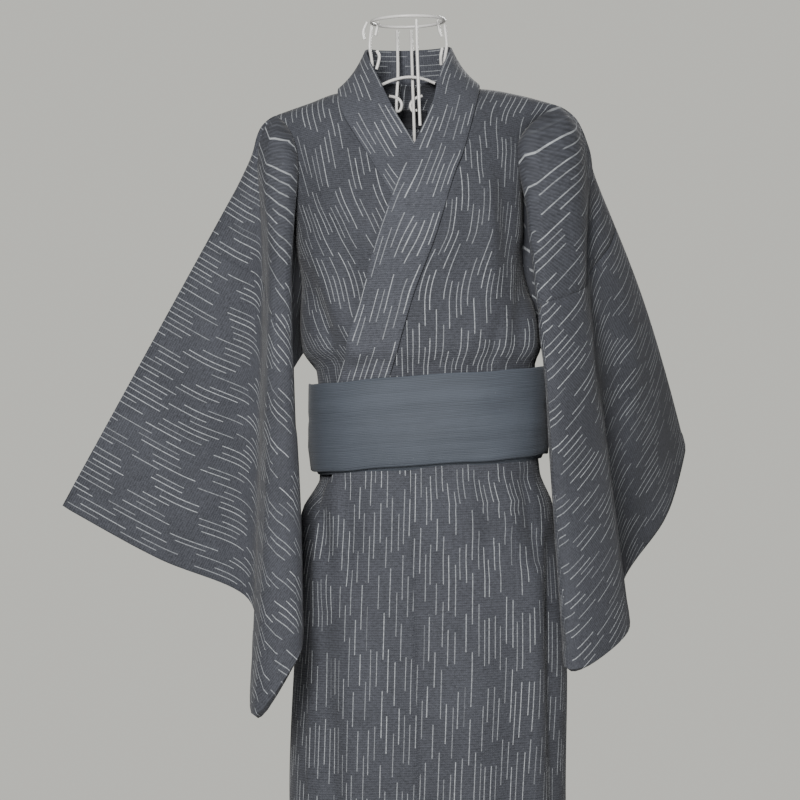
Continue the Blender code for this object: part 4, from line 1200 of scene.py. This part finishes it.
def wear_group():
    """Slow change over the whole piece: rubbed and faded patches, and lint."""
    graph, given, made = shader_group(
        "Fade and Lint",
        (("Place", "NodeSocketVector", None), ("Patch", "NodeSocketFloat", 7.0),
         ("Lint", "NodeSocketFloat", 0.3)),
        (("Fade", "NodeSocketFloat"), ("Fleck", "NodeSocketFloat")))
    patches = graph.noise(given["Place"], given["Patch"], 3.0, 0.55)
    small = graph.noise(given["Place"], 46.0, 3.0, 0.6)
    fade = graph.times_plus(small, 0.35, graph.times(patches, 0.65))
    cells = graph.node("ShaderNodeTexVoronoi", {"Vector": given["Place"], "Scale": 230.0}, feature="F1")
    tone = graph.node("ShaderNodeSeparateColor", {0: cells.outputs["Color"]}).outputs[0]
    lucky = graph.step(tone, 0.955, 0.965)
    fleck = graph.times(graph.step(cells.outputs["Distance"], 0.22, 0.06), lucky)
    graph.send(fade, made["Fade"])
    graph.send(graph.times(fleck, given["Lint"]), made["Fleck"])
    return graph.tree


def paint_group():
    """Dipped white paint: slight runs and orange peel, patchy dust, a few bare chips."""
    graph, given, made = shader_group(
        "Dipped Paint",
        (("Place", "NodeSocketVector", None), ("Chips", "NodeSocketFloat", 0.35)),
        (("Height", "NodeSocketFloat"), ("Chip", "NodeSocketFloat"), ("Dust", "NodeSocketFloat")))
    peel = graph.noise(given["Place"], 420.0, 2.0)
    runs = graph.noise(graph.scaled(given["Place"], (70.0, 70.0, 18.0)), 1.0, 2.0)
    height = graph.times_plus(peel, 0.3, graph.times(runs, 0.7))
    spots = graph.noise(given["Place"], 95.0, 4.0, 0.65)
    chip = graph.times(graph.step(spots, 0.735, 0.750), given["Chips"])
    graph.send(graph.math("SUBTRACT", height, graph.times(chip, 0.4)), made["Height"])
    graph.send(chip, made["Chip"])
    graph.send(graph.noise(given["Place"], 14.0, 3.0), made["Dust"])
    return graph.tree


GROUPS = {}


def shared(name):
    """A node group or tree that several pieces use, made once."""
    if name not in GROUPS:
        makers = {"dashes": dash_group, "weave": weave_group, "wear": wear_group, "paint": paint_group,
                  "wire": wire_tree, "stitch": stitch_tree}
        GROUPS[name] = makers[name]()
    return GROUPS[name]


def placed(graph, name, values):
    """A shared group put into a material, with that material's own values."""
    return graph.node("ShaderNodeGroup", values, node_tree=shared(name)).outputs


def blank(name, roughness):
    """A material with one Principled shader and nothing on it yet."""
    material = bpy.data.materials.new(name)
    material.use_nodes = True
    shader = material.node_tree.nodes["Principled BSDF"]
    shader.inputs["Roughness"].default_value = roughness
    return material, Graph(material.node_tree), shader


def tinted(colour, factor):
    return (colour[0] * factor, colour[1] * factor, colour[2] * factor, 1.0)


def cotton(name, seed, tone=1.0, share=0.60):
    """The robe's cotton: dark blue-grey crinkled weave with light dashes along the warp."""
    finishes = bpy.context.scene.yukata_finishes
    material, graph, shader = blank(name, 0.86)
    shader.inputs["Specular IOR Level"].default_value = 0.28
    shader.inputs["Sheen Weight"].default_value = 0.10
    shader.inputs["Sheen Roughness"].default_value = 0.45
    cloth = graph.cloth()
    place = graph.place()
    dash = placed(graph, "dashes", {"Cloth": cloth, "Seed": seed, "Share": share,
                                    "Column": finishes.dash_spacing, "Thread": finishes.dash_width})
    weave = placed(graph, "weave", {"Cloth": cloth})
    wear = placed(graph, "wear", {"Place": place})
    ground = tuple(finishes.cotton_colour)
    # A tone above 1 lightens the whole cloth; on the collar that is painted highlight, partly the collar's
    # wear.
    base = graph.blend(weave["Shade"], tinted(ground, 0.52 * tone), tinted(ground, 1.36 * tone))
    base = graph.blend(graph.step(wear["Fade"], 0.34, 0.66), base,
                       graph.blend(weave["Shade"], tinted(ground, 0.70 * tone), tinted(ground, 1.62 * tone)))
    base = graph.blend(wear["Fleck"], base, (0.30, 0.31, 0.32, 1.0))
    base = graph.blend(dash["Dash"], base, (*finishes.dash_colour, 1.0))
    graph.send(base, shader.inputs["Base Color"])
    height = graph.times_plus(dash["Height"], 0.25, weave["Height"])
    graph.send(graph.bump(height, 0.55, 0.0016), shader.inputs["Normal"])
    rough = graph.times_plus(weave["Shade"], 0.10, 0.80)
    graph.send(rough, shader.inputs["Roughness"])
    return material


def belt_cloth(name):
    """The belt's plain cloth, with fine ribs along its length and a faint sheen."""
    finishes = bpy.context.scene.yukata_finishes
    material, graph, shader = blank(name, 0.72)
    shader.inputs["Specular IOR Level"].default_value = 0.32
    shader.inputs["Sheen Weight"].default_value = 0.12
    shader.inputs["Sheen Roughness"].default_value = 0.4
    cloth = graph.cloth()
    place = graph.place()
    spot = graph.node("ShaderNodeSeparateXYZ", {0: cloth}).outputs
    streak = graph.noise(graph.scaled(cloth, (9.0, 520.0, 1.0)), 1.0, 3.0, 0.6)
    long = graph.noise(graph.scaled(cloth, (3.0, 60.0, 1.0)), 1.0, 2.0)
    ribs = graph.math("SINE", graph.times_plus(streak, 2.5, graph.times(spot[1], 3100.0)))
    weave = placed(graph, "weave", {"Cloth": cloth, "Pucker": 620.0, "Stretch": 0.5, "Slub": 0.7})
    wear = placed(graph, "wear", {"Place": place, "Lint": 0.25})
    ground = tuple(finishes.belt_colour)
    shade = graph.times_plus(ribs, 0.12, graph.times_plus(streak, 0.45, 0.2))
    base = graph.blend(graph.step(shade, 0.1, 0.8), tinted(ground, 0.58), tinted(ground, 1.42))
    base = graph.blend(graph.times(graph.step(long, 0.4, 0.7), 0.35), base, tinted(ground, 1.30))
    faded = graph.times(graph.step(wear["Fade"], 0.4, 0.65), 0.3)
    base = graph.blend(faded, base, tinted(ground, 0.72))
    base = graph.blend(wear["Fleck"], base, (0.24, 0.26, 0.29, 1.0))
    graph.send(base, shader.inputs["Base Color"])
    height = graph.times_plus(ribs, 0.2, graph.times_plus(streak, 0.25, weave["Height"]))
    graph.send(graph.bump(height, 0.35, 0.0009), shader.inputs["Normal"])
    rough = graph.times_plus(streak, 0.16, 0.62)
    graph.send(rough, shader.inputs["Roughness"])
    return material


def label_cloth(name, colour, ground_scale):
    """The label's close satin weave, or sewing thread with its twist."""
    material, graph, shader = blank(name, 0.55)
    shader.inputs["Sheen Weight"].default_value = 0.15
    place = graph.place()
    weave = placed(graph, "weave", {"Cloth": place, "Pucker": ground_scale, "Stretch": 1.0, "Slub": 0.2})
    wear = placed(graph, "wear", {"Place": place, "Lint": 0.2})
    base = graph.blend(weave["Shade"], tinted(colour, 0.65), tinted(colour, 1.5))
    base = graph.blend(wear["Fleck"], base, (0.2, 0.2, 0.2, 1.0))
    graph.send(base, shader.inputs["Base Color"])
    graph.send(graph.bump(weave["Height"], 0.4, 0.0006), shader.inputs["Normal"])
    return material


def white_paint(name, chips):
    """White dipped paint on the form's steel."""
    finishes = bpy.context.scene.yukata_finishes
    material, graph, shader = blank(name, 0.34)
    shader.inputs["Coat Weight"].default_value = 0.25
    shader.inputs["Coat Roughness"].default_value = 0.18
    place = graph.place()
    paint = placed(graph, "paint", {"Place": place, "Chips": chips})
    white = tuple(finishes.paint_colour)
    base = graph.blend(graph.step(paint["Dust"], 0.40, 0.70), tinted(white, 1.0), tinted(white, 0.90))
    base = graph.blend(paint["Chip"], base, (0.30, 0.28, 0.25, 1.0))
    graph.send(base, shader.inputs["Base Color"])
    rough = graph.times_plus(paint["Dust"], 0.22, 0.24)
    graph.send(rough, shader.inputs["Roughness"])
    graph.send(graph.bump(paint["Height"], 0.25, 0.0008), shader.inputs["Normal"])
    return material


LABEL_COLOUR = (0.018, 0.019, 0.024)
THREAD_COLOUR = (0.045, 0.050, 0.062)
# Each material: its maker, its name, and what sets it apart (a cotton's seed, tone and share of dashes,
# a fine cloth's colour and closeness, a paint's share of chips).
MAKERS = {
    "cotton_right": (cotton, "cotton_right", 1.0),
    "cotton_left": (cotton, "cotton_left", 2.0),
    "cotton_overlap": (cotton, "cotton_overlap", 3.0),
    "cotton_sleeve_right": (cotton, "cotton_sleeve_right", 4.0),
    "cotton_sleeve_left": (cotton, "cotton_sleeve_left", 5.0),
    # The collar's cotton is 1.22 times lighter: painted highlight from the front light on its glossy centre,
    # partly its wear.
    "cotton_collar": (cotton, "cotton_collar", 6.0, 1.22, 0.56),
    "belt_cloth": (belt_cloth, "belt_cloth"),
    "label_cloth": (label_cloth, "label_cloth", LABEL_COLOUR, 1500.0),
    "thread": (label_cloth, "sewing_thread", THREAD_COLOUR, 3000.0),
    "white_wire": (white_paint, "white_wire", 0.45),
    "white_base": (white_paint, "white_base", 0.30),
}
MATERIALS = {}


def material_for(key):
    """The object's materials, each made once."""
    if key not in MATERIALS:
        maker, *values = MAKERS[key]
        MATERIALS[key] = maker(*values)
    return MATERIALS[key]


def dress(piece, key, slot, *nodes):
    """Material, body and replaced nodes of one finished piece; the slot is not used."""
    if not piece.data.materials:
        piece.data.materials.append(material_for(key))
    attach(piece, "root")
    if nodes:
        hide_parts(*nodes)
    return piece


RING_POINTS = 96          # points round a ring, a hoop or the floor
NECK_WIRE_SHARE = 0.95    # the neck's bent wires are this much of the ribs' wire
RIB_DROPS = (0.075, 0.11, 0.16, 0.24, 0.31, 0.36, 0.46, 0.52, 0.60, 0.70)


# ---- The form ----------------------------------------------------------------------------------------
def bend(points, steps=10):
    """A smooth line through a few given points."""
    knots = [0.0]
    for before, after in zip(points, points[1:]):
        knots.append(knots[-1] + (Vector(after) - Vector(before)).length)
    values = [Vector(point) for point in points]
    count = steps * (len(points) - 1)
    return [through(knots, values, knots[-1] * i / count) for i in range(count + 1)]


def circle(radius, height, steps):
    around = [2 * math.pi * i / steps for i in range(steps)]
    return [Vector((radius * math.cos(a), radius * math.sin(a), height)) for a in around]


def turned(name, outline, steps=96):
    """A round piece turned from its outline of (radius, height), bottom to top."""
    bm = bmesh.new()
    rings = []
    for radius, height in outline:
        if radius == 0.0:
            rings.append([bm.verts.new((0.0, 0.0, height))])
            continue
        rings.append([bm.verts.new((radius * math.cos(2 * math.pi * i / steps),
                                    radius * math.sin(2 * math.pi * i / steps), height))
                      for i in range(steps)])
    for lower, upper in zip(rings, rings[1:]):
        for i in range(steps):
            after = (i + 1) % steps
            ring = [lower[i % len(lower)], lower[after % len(lower)],
                    upper[after % len(upper)], upper[i % len(upper)]]
            corners = []
            for corner in ring:
                if corner not in corners:
                    corners.append(corner)
            bm.faces.new(corners)
    bmesh.ops.recalc_face_normals(bm, faces=bm.faces)
    mesh = bpy.data.meshes.new(name)
    bm.to_mesh(mesh)
    bm.free()
    return finished(name, mesh)


# ---- Settings ----------------------------------------------------------------------------------------
class YukataSizes(bpy.types.PropertyGroup):
    """Sizes of the cloth and the wire."""
    cloth_wall: bpy.props.FloatProperty(
        name="Cloth Thickness", description="Thickness of the robe's cotton", default=0.0018, min=0.001,
        max=0.003, precision=4, unit="LENGTH")
    belt_wall: bpy.props.FloatProperty(
        name="Belt Thickness", description="Thickness of one turn of the belt", default=0.0021, min=0.001,
        max=0.003, precision=4, unit="LENGTH")
    wire_radius: bpy.props.FloatProperty(
        name="Wire Radius", description="Radius of the form's wire", default=0.0020, min=0.001, max=0.004,
        precision=4, unit="LENGTH")
    stitch_length: bpy.props.FloatProperty(
        name="Stitch Length", description="Length of one visible hand stitch", default=0.0024, min=0.001,
        max=0.006, precision=4, unit="LENGTH")


class YukataFinishes(bpy.types.PropertyGroup):
    """Colours of the cloth and the paint, and the spacing of the dashes."""
    cotton_colour: bpy.props.FloatVectorProperty(
        name="Cotton", description="Ground colour of the robe's cotton", default=(0.066, 0.070, 0.084),
        min=0.0, max=1.0, subtype="COLOR")
    dash_colour: bpy.props.FloatVectorProperty(
        name="Dashes", description="Colour of the light threads", default=(0.56, 0.59, 0.62), min=0.0,
        max=1.0, subtype="COLOR")
    belt_colour: bpy.props.FloatVectorProperty(
        name="Belt", description="Colour of the belt", default=(0.080, 0.093, 0.116), min=0.0, max=1.0,
        subtype="COLOR")
    paint_colour: bpy.props.FloatVectorProperty(
        name="Paint", description="Colour of the form's paint", default=(0.86, 0.85, 0.83), min=0.0, max=1.0,
        subtype="COLOR")
    dash_spacing: bpy.props.FloatProperty(
        name="Dash Spacing", description="Distance between two columns of dashes", default=0.0069,
        min=0.004, max=0.02, precision=4, unit="LENGTH")
    dash_width: bpy.props.FloatProperty(
        name="Dash Width", description="Width of one dash", default=0.00100, min=0.0005, max=0.004,
        precision=5, unit="LENGTH")


class YukataStage(bpy.types.PropertyGroup):
    """The floor and the light."""
    floor_radius: bpy.props.FloatProperty(
        name="Floor Radius", description="Radius of the pale floor", default=2.6, min=0.5, max=6.0,
        unit="LENGTH")
    key_power: bpy.props.FloatProperty(
        name="Key Light", description="Power of the main soft light", default=108.0, min=0.0, max=500.0,
        subtype="POWER", unit="POWER")
    surround: bpy.props.FloatProperty(
        name="Surround", description="Strength of the grey surroundings", default=0.10, min=0.0, max=3.0)


# ---- Operators ---------------------------------------------------------------------------------------
BELT_END_TURN = 176.0     # each turn of the belt ends beside the knot
HEM_STITCH_DROP = 1.316
STITCH_PROUD = 0.0019     # the hem's stitches lie this far out from the cloth's middle
LABEL_STITCH_INSET = 0.0012


class YUKATA_OT_body_panels(bpy.types.Operator):
    """Make the two long panels that are the robe's fronts, shoulders and back"""
    bl_idname = "yukata.body_panels"
    bl_label = "Body Panels"

    def execute(self, context):
        panels = (
            ("robe_panel_right", -1, RIGHT_FAN, RIGHT_FRONT_EDGE, RIGHT_OVERLAP_SEAM_X, UNDER_PANEL_OUT,
             RIGHT_SIDE_U, "cotton_right", "body_panel_right"),
            ("robe_panel_left", 1, LEFT_FAN, LEFT_FRONT_EDGE, LEFT_OVERLAP_SEAM_X, OVER_PANEL_OUT,
             LEFT_SIDE_U, "cotton_left", "body_panel_left"),
        )
        for *shape, key, node in panels:
            piece = body_panel(*shape)
            dress(piece, key, "cotton", node)
        return {"FINISHED"}


class YUKATA_OT_overlap_panels(bpy.types.Operator):
    """Make the half-width panels that let the fronts overlap"""
    bl_idname = "yukata.overlap_panels"
    bl_label = "Overlap Panels"

    def execute(self, context):
        panels = (
            ("overlap_under", -1, RIGHT_FRONT_EDGE, RIGHT_OVERLAP_SEAM_X, UNDER_PANEL_OUT, 0.190,
             "overlap_panel_right"),
            ("overlap_over", 1, LEFT_FRONT_EDGE, LEFT_OVERLAP_SEAM_X, OVER_PANEL_OUT, 0.215,
             "overlap_panel_left"),
        )
        for *shape, node in panels:
            piece = overlap_panel(*shape)
            dress(piece, "cotton_overlap", "cotton", node)
        return {"FINISHED"}


class YUKATA_OT_sleeves(bpy.types.Operator):
    """Make the two wide sleeves"""
    bl_idname = "yukata.sleeves"
    bl_label = "Sleeves"

    def execute(self, context):
        for name, fan, key, node in (("robe_sleeve_right", RIGHT_FAN, "cotton_sleeve_right", "sleeve_right"),
                                     ("robe_sleeve_left", LEFT_FAN, "cotton_sleeve_left", "sleeve_left")):
            piece = sleeve(name, fan)
            dress(piece, key, "cotton", node)
        return {"FINISHED"}


class YUKATA_OT_collar(bpy.types.Operator):
    """Make the collar band and the blank label inside the back of the neck"""
    bl_idname = "yukata.collar"
    bl_label = "Collar and Label"

    def execute(self, context):
        sizes = context.scene.yukata_sizes
        piece = collar_band("robe_collar")
        dress(piece, "cotton_collar", "collar_cotton", "collar_band")
        label = patch("robe_label", LABEL_CORNERS, LABEL_OUT, LABEL_THICKNESS, LABEL_CROWN)
        dress(label, "label_cloth", "label_cloth", "neck_label")
        (x0, z0), (x1, _), (_, z1), _ = LABEL_CORNERS
        loop = []
        for x, z in ((x0, z0), (x1, z0), (x1, z1), (x0, z1), (x0, z0)):
            x = x + (LABEL_STITCH_INSET if x < 0 else -LABEL_STITCH_INSET)
            z = z + (LABEL_STITCH_INSET if z == z0 else -LABEL_STITCH_INSET)
            side_on = turn_of(NECK_POINT_Z - z, x)
            behind = math.copysign(180.0, side_on) - side_on
            loop.append(trunk(NECK_POINT_Z - z, behind, LABEL_OUT - 0.0007, False))
        stitches = grown("label_stitches", lines_mesh("label_stitches", [(loop, False)]), shared("stitch"),
                         {"Spacing": 0.0030, "Length": sizes.stitch_length * 0.7, "Thread Radius": 0.0002,
                          "Thread": material_for("thread")})
        dress(stitches, "thread", "label_cloth")
        return {"FINISHED"}


class YUKATA_OT_belt(bpy.types.Operator):
    """Make the belt's two turns and its flat knot on the back"""
    bl_idname = "yukata.belt"
    bl_label = "Belt"

    def execute(self, context):
        inner = belt_turn("belt_under_turn", INNER_TURN_Z, INNER_TURN_OUT, 1.0, 0.0060)
        dress(inner, "belt_cloth", "belt_cloth", "belt_inner_turn")
        outer = belt_turn("belt_over_turn", OUTER_TURN_Z, OUTER_TURN_OUT, 2.3, 0.0006)
        dress(outer, "belt_cloth", "belt_cloth", "belt_outer_turn")
        for name, corners, out in KNOT_PIECES:
            piece = patch(name + "_cloth", corners, out, context.scene.yukata_sizes.belt_wall, KNOT_CROWN)
            dress(piece, "belt_cloth", "belt_cloth", name)
        return {"FINISHED"}


class YUKATA_OT_stitches(bpy.types.Operator):
    """Lay the small hand stitches along the hem and down the sleeves' cuffs"""
    bl_idname = "yukata.stitches"
    bl_label = "Hand Stitches"

    def execute(self, context):
        sizes = context.scene.yukata_sizes
        lines = []
        drop = HEM_STITCH_DROP
        lines.append(([trunk(drop, turn, panel_out(drop, turn, OVER_PANEL_OUT) + STITCH_PROUD)
                       for turn in refine([-50.0, 86.0], 3.0)], False))
        lines.append(([trunk(drop, turn, STITCH_PROUD) for turn in refine([93.0, 267.0], 3.0)], False))
        for fan in (RIGHT_FAN, LEFT_FAN):
            for face in (1, -1):
                cuff = []
                for angle in refine([1.0, 41.5], 1.5):
                    distance = reach_of(angle) - 0.019
                    point = fan.layer(angle, distance, face)
                    cuff.append(point + fan.normal(angle, distance) * face * 0.0012)
                lines.append((cuff, False))
        stitches = grown("hand_stitches", lines_mesh("hand_stitches", lines), shared("stitch"),
                         {"Spacing": 0.0190, "Length": sizes.stitch_length, "Thread Radius": 0.00028,
                          "Thread": material_for("thread")})
        dress(stitches, "thread", "cotton")
        return {"FINISHED"}


def form_wire(node, points, closed=False, **values):
    """One painted wire of the form, in place of its node."""
    radius = bpy.context.scene.yukata_sizes.wire_radius
    values = {"Radius": radius, "Paint": material_for("white_wire"), **values}
    piece = grown("form_" + node, lines_mesh(node, [(points, closed)]), shared("wire"), values)
    dress(piece, "white_wire", "white_paint", node)


class YUKATA_OT_form_neck(bpy.types.Operator):
    """Make the form's neck ring with the bent wires and scrolls below it"""
    bl_idname = "yukata.form_neck"
    bl_label = "Form Neck"

    def execute(self, context):
        form_wire("neck_ring", circle(NECK_RING_RADIUS, NECK_RING_Z, RING_POINTS), True)
        for name, points in NECK_WIRES:
            form_wire(name, bend(points), Radius=context.scene.yukata_sizes.wire_radius * NECK_WIRE_SHARE)
        return {"FINISHED"}


class YUKATA_OT_form_body(bpy.types.Operator):
    """Make the form's ribs, hoops and cross bars inside the robe"""
    bl_idname = "yukata.form_body"
    bl_label = "Form Body"

    def execute(self, context):
        for name, turn, top in RIBS:
            points = [Vector(top)] + [trunk(drop, turn, -FORM_INSET, False) for drop in RIB_DROPS]
            form_wire(name, bend(points, 4), Sides=10)
        inside = FORM_INSET + 2 * WIRE + HOOP_CLEAR
        bar_y = POLE_RADIUS + WIRE + SEAM_GAP
        for name, height in HOOPS:
            loop = [trunk(NECK_POINT_Z - height, 360.0 * i / RING_POINTS - 180.0, -inside, False)
                    for i in range(RING_POINTS)]
            form_wire(name, loop, True, Sides=10)
            right = Vector((loop[RING_POINTS // 4].x + 2 * WIRE, bar_y, height))
            left = Vector((loop[3 * RING_POINTS // 4].x - 2 * WIRE, bar_y, height))
            form_wire(name + "_bar", [right.lerp(left, i / 24) for i in range(25)], Sides=10)
        return {"FINISHED"}


class YUKATA_OT_form_stand(bpy.types.Operator):
    """Make the form's pole and its pressed round base"""
    bl_idname = "yukata.form_stand"
    bl_label = "Form Stand"

    def execute(self, context):
        top = BASE_HEIGHT
        outline = [(0.0, 0.0), (BASE_RADIUS - 0.0015, 0.0), (BASE_RADIUS, 0.0012), (BASE_RADIUS, 0.0050)]
        outline += [(BASE_RADIUS - 0.004 * (1 - math.cos(a)), 0.0050 + 0.0040 * math.sin(a))
                    for a in (0.4, 0.8, 1.2, 1.57)]
        outline += [(0.148, 0.0090), (0.145, 0.0082), (0.142, 0.0082), (0.138, 0.0094), (0.110, 0.0104),
                    (0.060, 0.0114), (0.034, top), (0.0, top)]
        base = turned("form_base", outline)
        dress(base, "white_base", "white_paint", "base")
        low = BASE_HEIGHT + SEAM_GAP
        rod = POLE_RADIUS
        outline = [(0.0, low), (0.0215, low), (0.0225, low + 0.001), (0.0225, low + 0.006),
                   (0.0200, low + 0.0085), (0.0145, low + 0.010), (0.0135, low + 0.030),
                   (rod, low + 0.033), (rod, 0.640), (rod + 0.0012, 0.641), (rod + 0.0012, 0.668),
                   (rod - 0.0012, 0.6695), (rod - 0.0012, 1.322), (rod - 0.0030, POLE_TOP), (0.0, POLE_TOP)]
        fine = [outline[0]]
        for before, after in zip(outline, outline[1:]):
            count = max(1, int(abs(after[1] - before[1]) / 0.05))
            for i in range(1, count + 1):
                fine.append((before[0] + (after[0] - before[0]) * i / count,
                             before[1] + (after[1] - before[1]) * i / count))
        pole = turned("form_pole", fine, 40)
        dress(pole, "white_base", "white_paint", "pole")
        return {"FINISHED"}


FLOOR_Z = -0.0002         # a hair below the base
CAMERA_PLACE = (-0.0228, -3.0, 1.053)
CAMERA_LENS = 109.35      # millimetres, on a sensor 36 mm wide
CAMERA_ROLL = -1.6        # degrees
# Lights: name, place, what it points at, diameter, share of the key light's power, colour.
LIGHTS = (
    ("key", (-0.45, -2.9, 1.95), (0.0, 0.0, 1.10), 0.9, 1.0, (1.0, 0.99, 0.97)),
    ("fill", (1.9, -2.2, 1.4), (0.05, 0.0, 1.0), 1.4, 0.05, (0.96, 0.98, 1.0)),
    ("back", (0.9, 2.6, 2.4), (0.0, 0.0, 1.1), 1.4, 0.55, (1.0, 1.0, 1.0)),
)


class YUKATA_OT_stage(bpy.types.Operator):
    """Make the pale floor, the soft lights, the grey surroundings and the camera"""
    bl_idname = "yukata.stage"
    bl_label = "Stage"

    def execute(self, context):
        stage = context.scene.yukata_stage
        bm = bmesh.new()
        rings = []
        for share in refine([0.0, 1.0], 0.05)[1:]:
            points = circle(stage.floor_radius * share, FLOOR_Z, RING_POINTS)
            rings.append([bm.verts.new(point) for point in points])
        bm.faces.new(rings[0])
        for inner, outer in zip(rings, rings[1:]):
            for i in range(RING_POINTS):
                after = (i + 1) % RING_POINTS
                bm.faces.new((outer[i], outer[after], inner[after], inner[i]))
        mesh = bpy.data.meshes.new("studio_floor")
        bmesh.ops.recalc_face_normals(bm, faces=bm.faces)
        bm.to_mesh(mesh)
        bm.free()
        floor = finished("studio_floor", mesh)
        material, graph, shader = blank("studio_floor", 0.8)
        place = graph.place()
        mottle = graph.noise(place, 3.0, 3.0)
        graph.send(graph.blend(mottle, (0.62, 0.61, 0.59, 1.0), (0.68, 0.67, 0.65, 1.0)),
                             shader.inputs["Base Color"])
        floor.data.materials.append(material)

        world = bpy.data.worlds.new("studio")
        world.use_nodes = True
        context.scene.world = world
        tree = world.node_tree
        sky = tree.nodes["Background"]
        sky.inputs["Color"].default_value = (0.86, 0.86, 0.84, 1.0)
        sky.inputs["Strength"].default_value = stage.surround
        seen = tree.nodes.new("ShaderNodeBackground")
        seen.inputs["Color"].default_value = (0.640, 0.636, 0.585, 1.0)
        rays = tree.nodes.new("ShaderNodeLightPath")
        either = tree.nodes.new("ShaderNodeMixShader")
        tree.links.new(rays.outputs["Is Camera Ray"], either.inputs[0])
        tree.links.new(sky.outputs[0], either.inputs[1])
        tree.links.new(seen.outputs[0], either.inputs[2])
        tree.links.new(either.outputs[0], tree.nodes["World Output"].inputs["Surface"])

        for name, place, aim, size, share, colour in LIGHTS:
            lamp = bpy.data.lights.new(name, "AREA")
            lamp.shape = "DISK"
            lamp.size = size
            lamp.energy = stage.key_power * share
            lamp.color = colour
            holder = bpy.data.objects.new(name, lamp)
            holder.location = place
            holder.rotation_euler = (Vector(aim) - Vector(place)).to_track_quat("-Z", "Y").to_euler()
            context.scene.collection.objects.link(holder)

        view = bpy.data.cameras.new("view")
        view.sensor_width = 36.0
        view.lens = CAMERA_LENS
        camera = bpy.data.objects.new("view", view)
        camera.location = CAMERA_PLACE
        camera.rotation_euler = (math.radians(90.0), 0.0, 0.0)
        camera.rotation_euler.rotate_axis("Z", math.radians(CAMERA_ROLL))
        context.scene.collection.objects.link(camera)
        context.scene.camera = camera
        return {"FINISHED"}


STEPS = (YUKATA_OT_stage, YUKATA_OT_body_panels, YUKATA_OT_overlap_panels, YUKATA_OT_sleeves,
         YUKATA_OT_collar, YUKATA_OT_belt, YUKATA_OT_stitches,
         YUKATA_OT_form_neck, YUKATA_OT_form_body, YUKATA_OT_form_stand)


class YUKATA_PT_panel(bpy.types.Panel):
    """Lists the settings and the pieces"""
    bl_idname = "YUKATA_PT_panel"
    bl_label = "Yukata"
    bl_space_type = "VIEW_3D"
    bl_region_type = "UI"
    bl_category = "Yukata"

    def draw(self, context):
        scene = context.scene
        for settings in (scene.yukata_sizes, scene.yukata_finishes, scene.yukata_stage):
            box = self.layout.box()
            for key in settings.__annotations__:
                box.prop(settings, key)
        for step in STEPS:
            self.layout.operator(step.bl_idname)


SETTINGS = (("yukata_sizes", YukataSizes), ("yukata_finishes", YukataFinishes), ("yukata_stage", YukataStage))


def register():
    for _, kind in SETTINGS:
        bpy.utils.register_class(kind)
    for step in STEPS + (YUKATA_PT_panel,):
        bpy.utils.register_class(step)
    for key, kind in SETTINGS:
        setattr(bpy.types.Scene, key, bpy.props.PointerProperty(type=kind))


def unregister():
    for key, _ in SETTINGS:
        delattr(bpy.types.Scene, key)
    for step in reversed(STEPS + (YUKATA_PT_panel,)):
        bpy.utils.unregister_class(step)
    for _, kind in reversed(SETTINGS):
        bpy.utils.unregister_class(kind)


def main():
    register()
    for step in STEPS:
        getattr(bpy.ops.yukata, step.bl_idname.split(".")[1])()


if __name__ == "__main__":
    main()
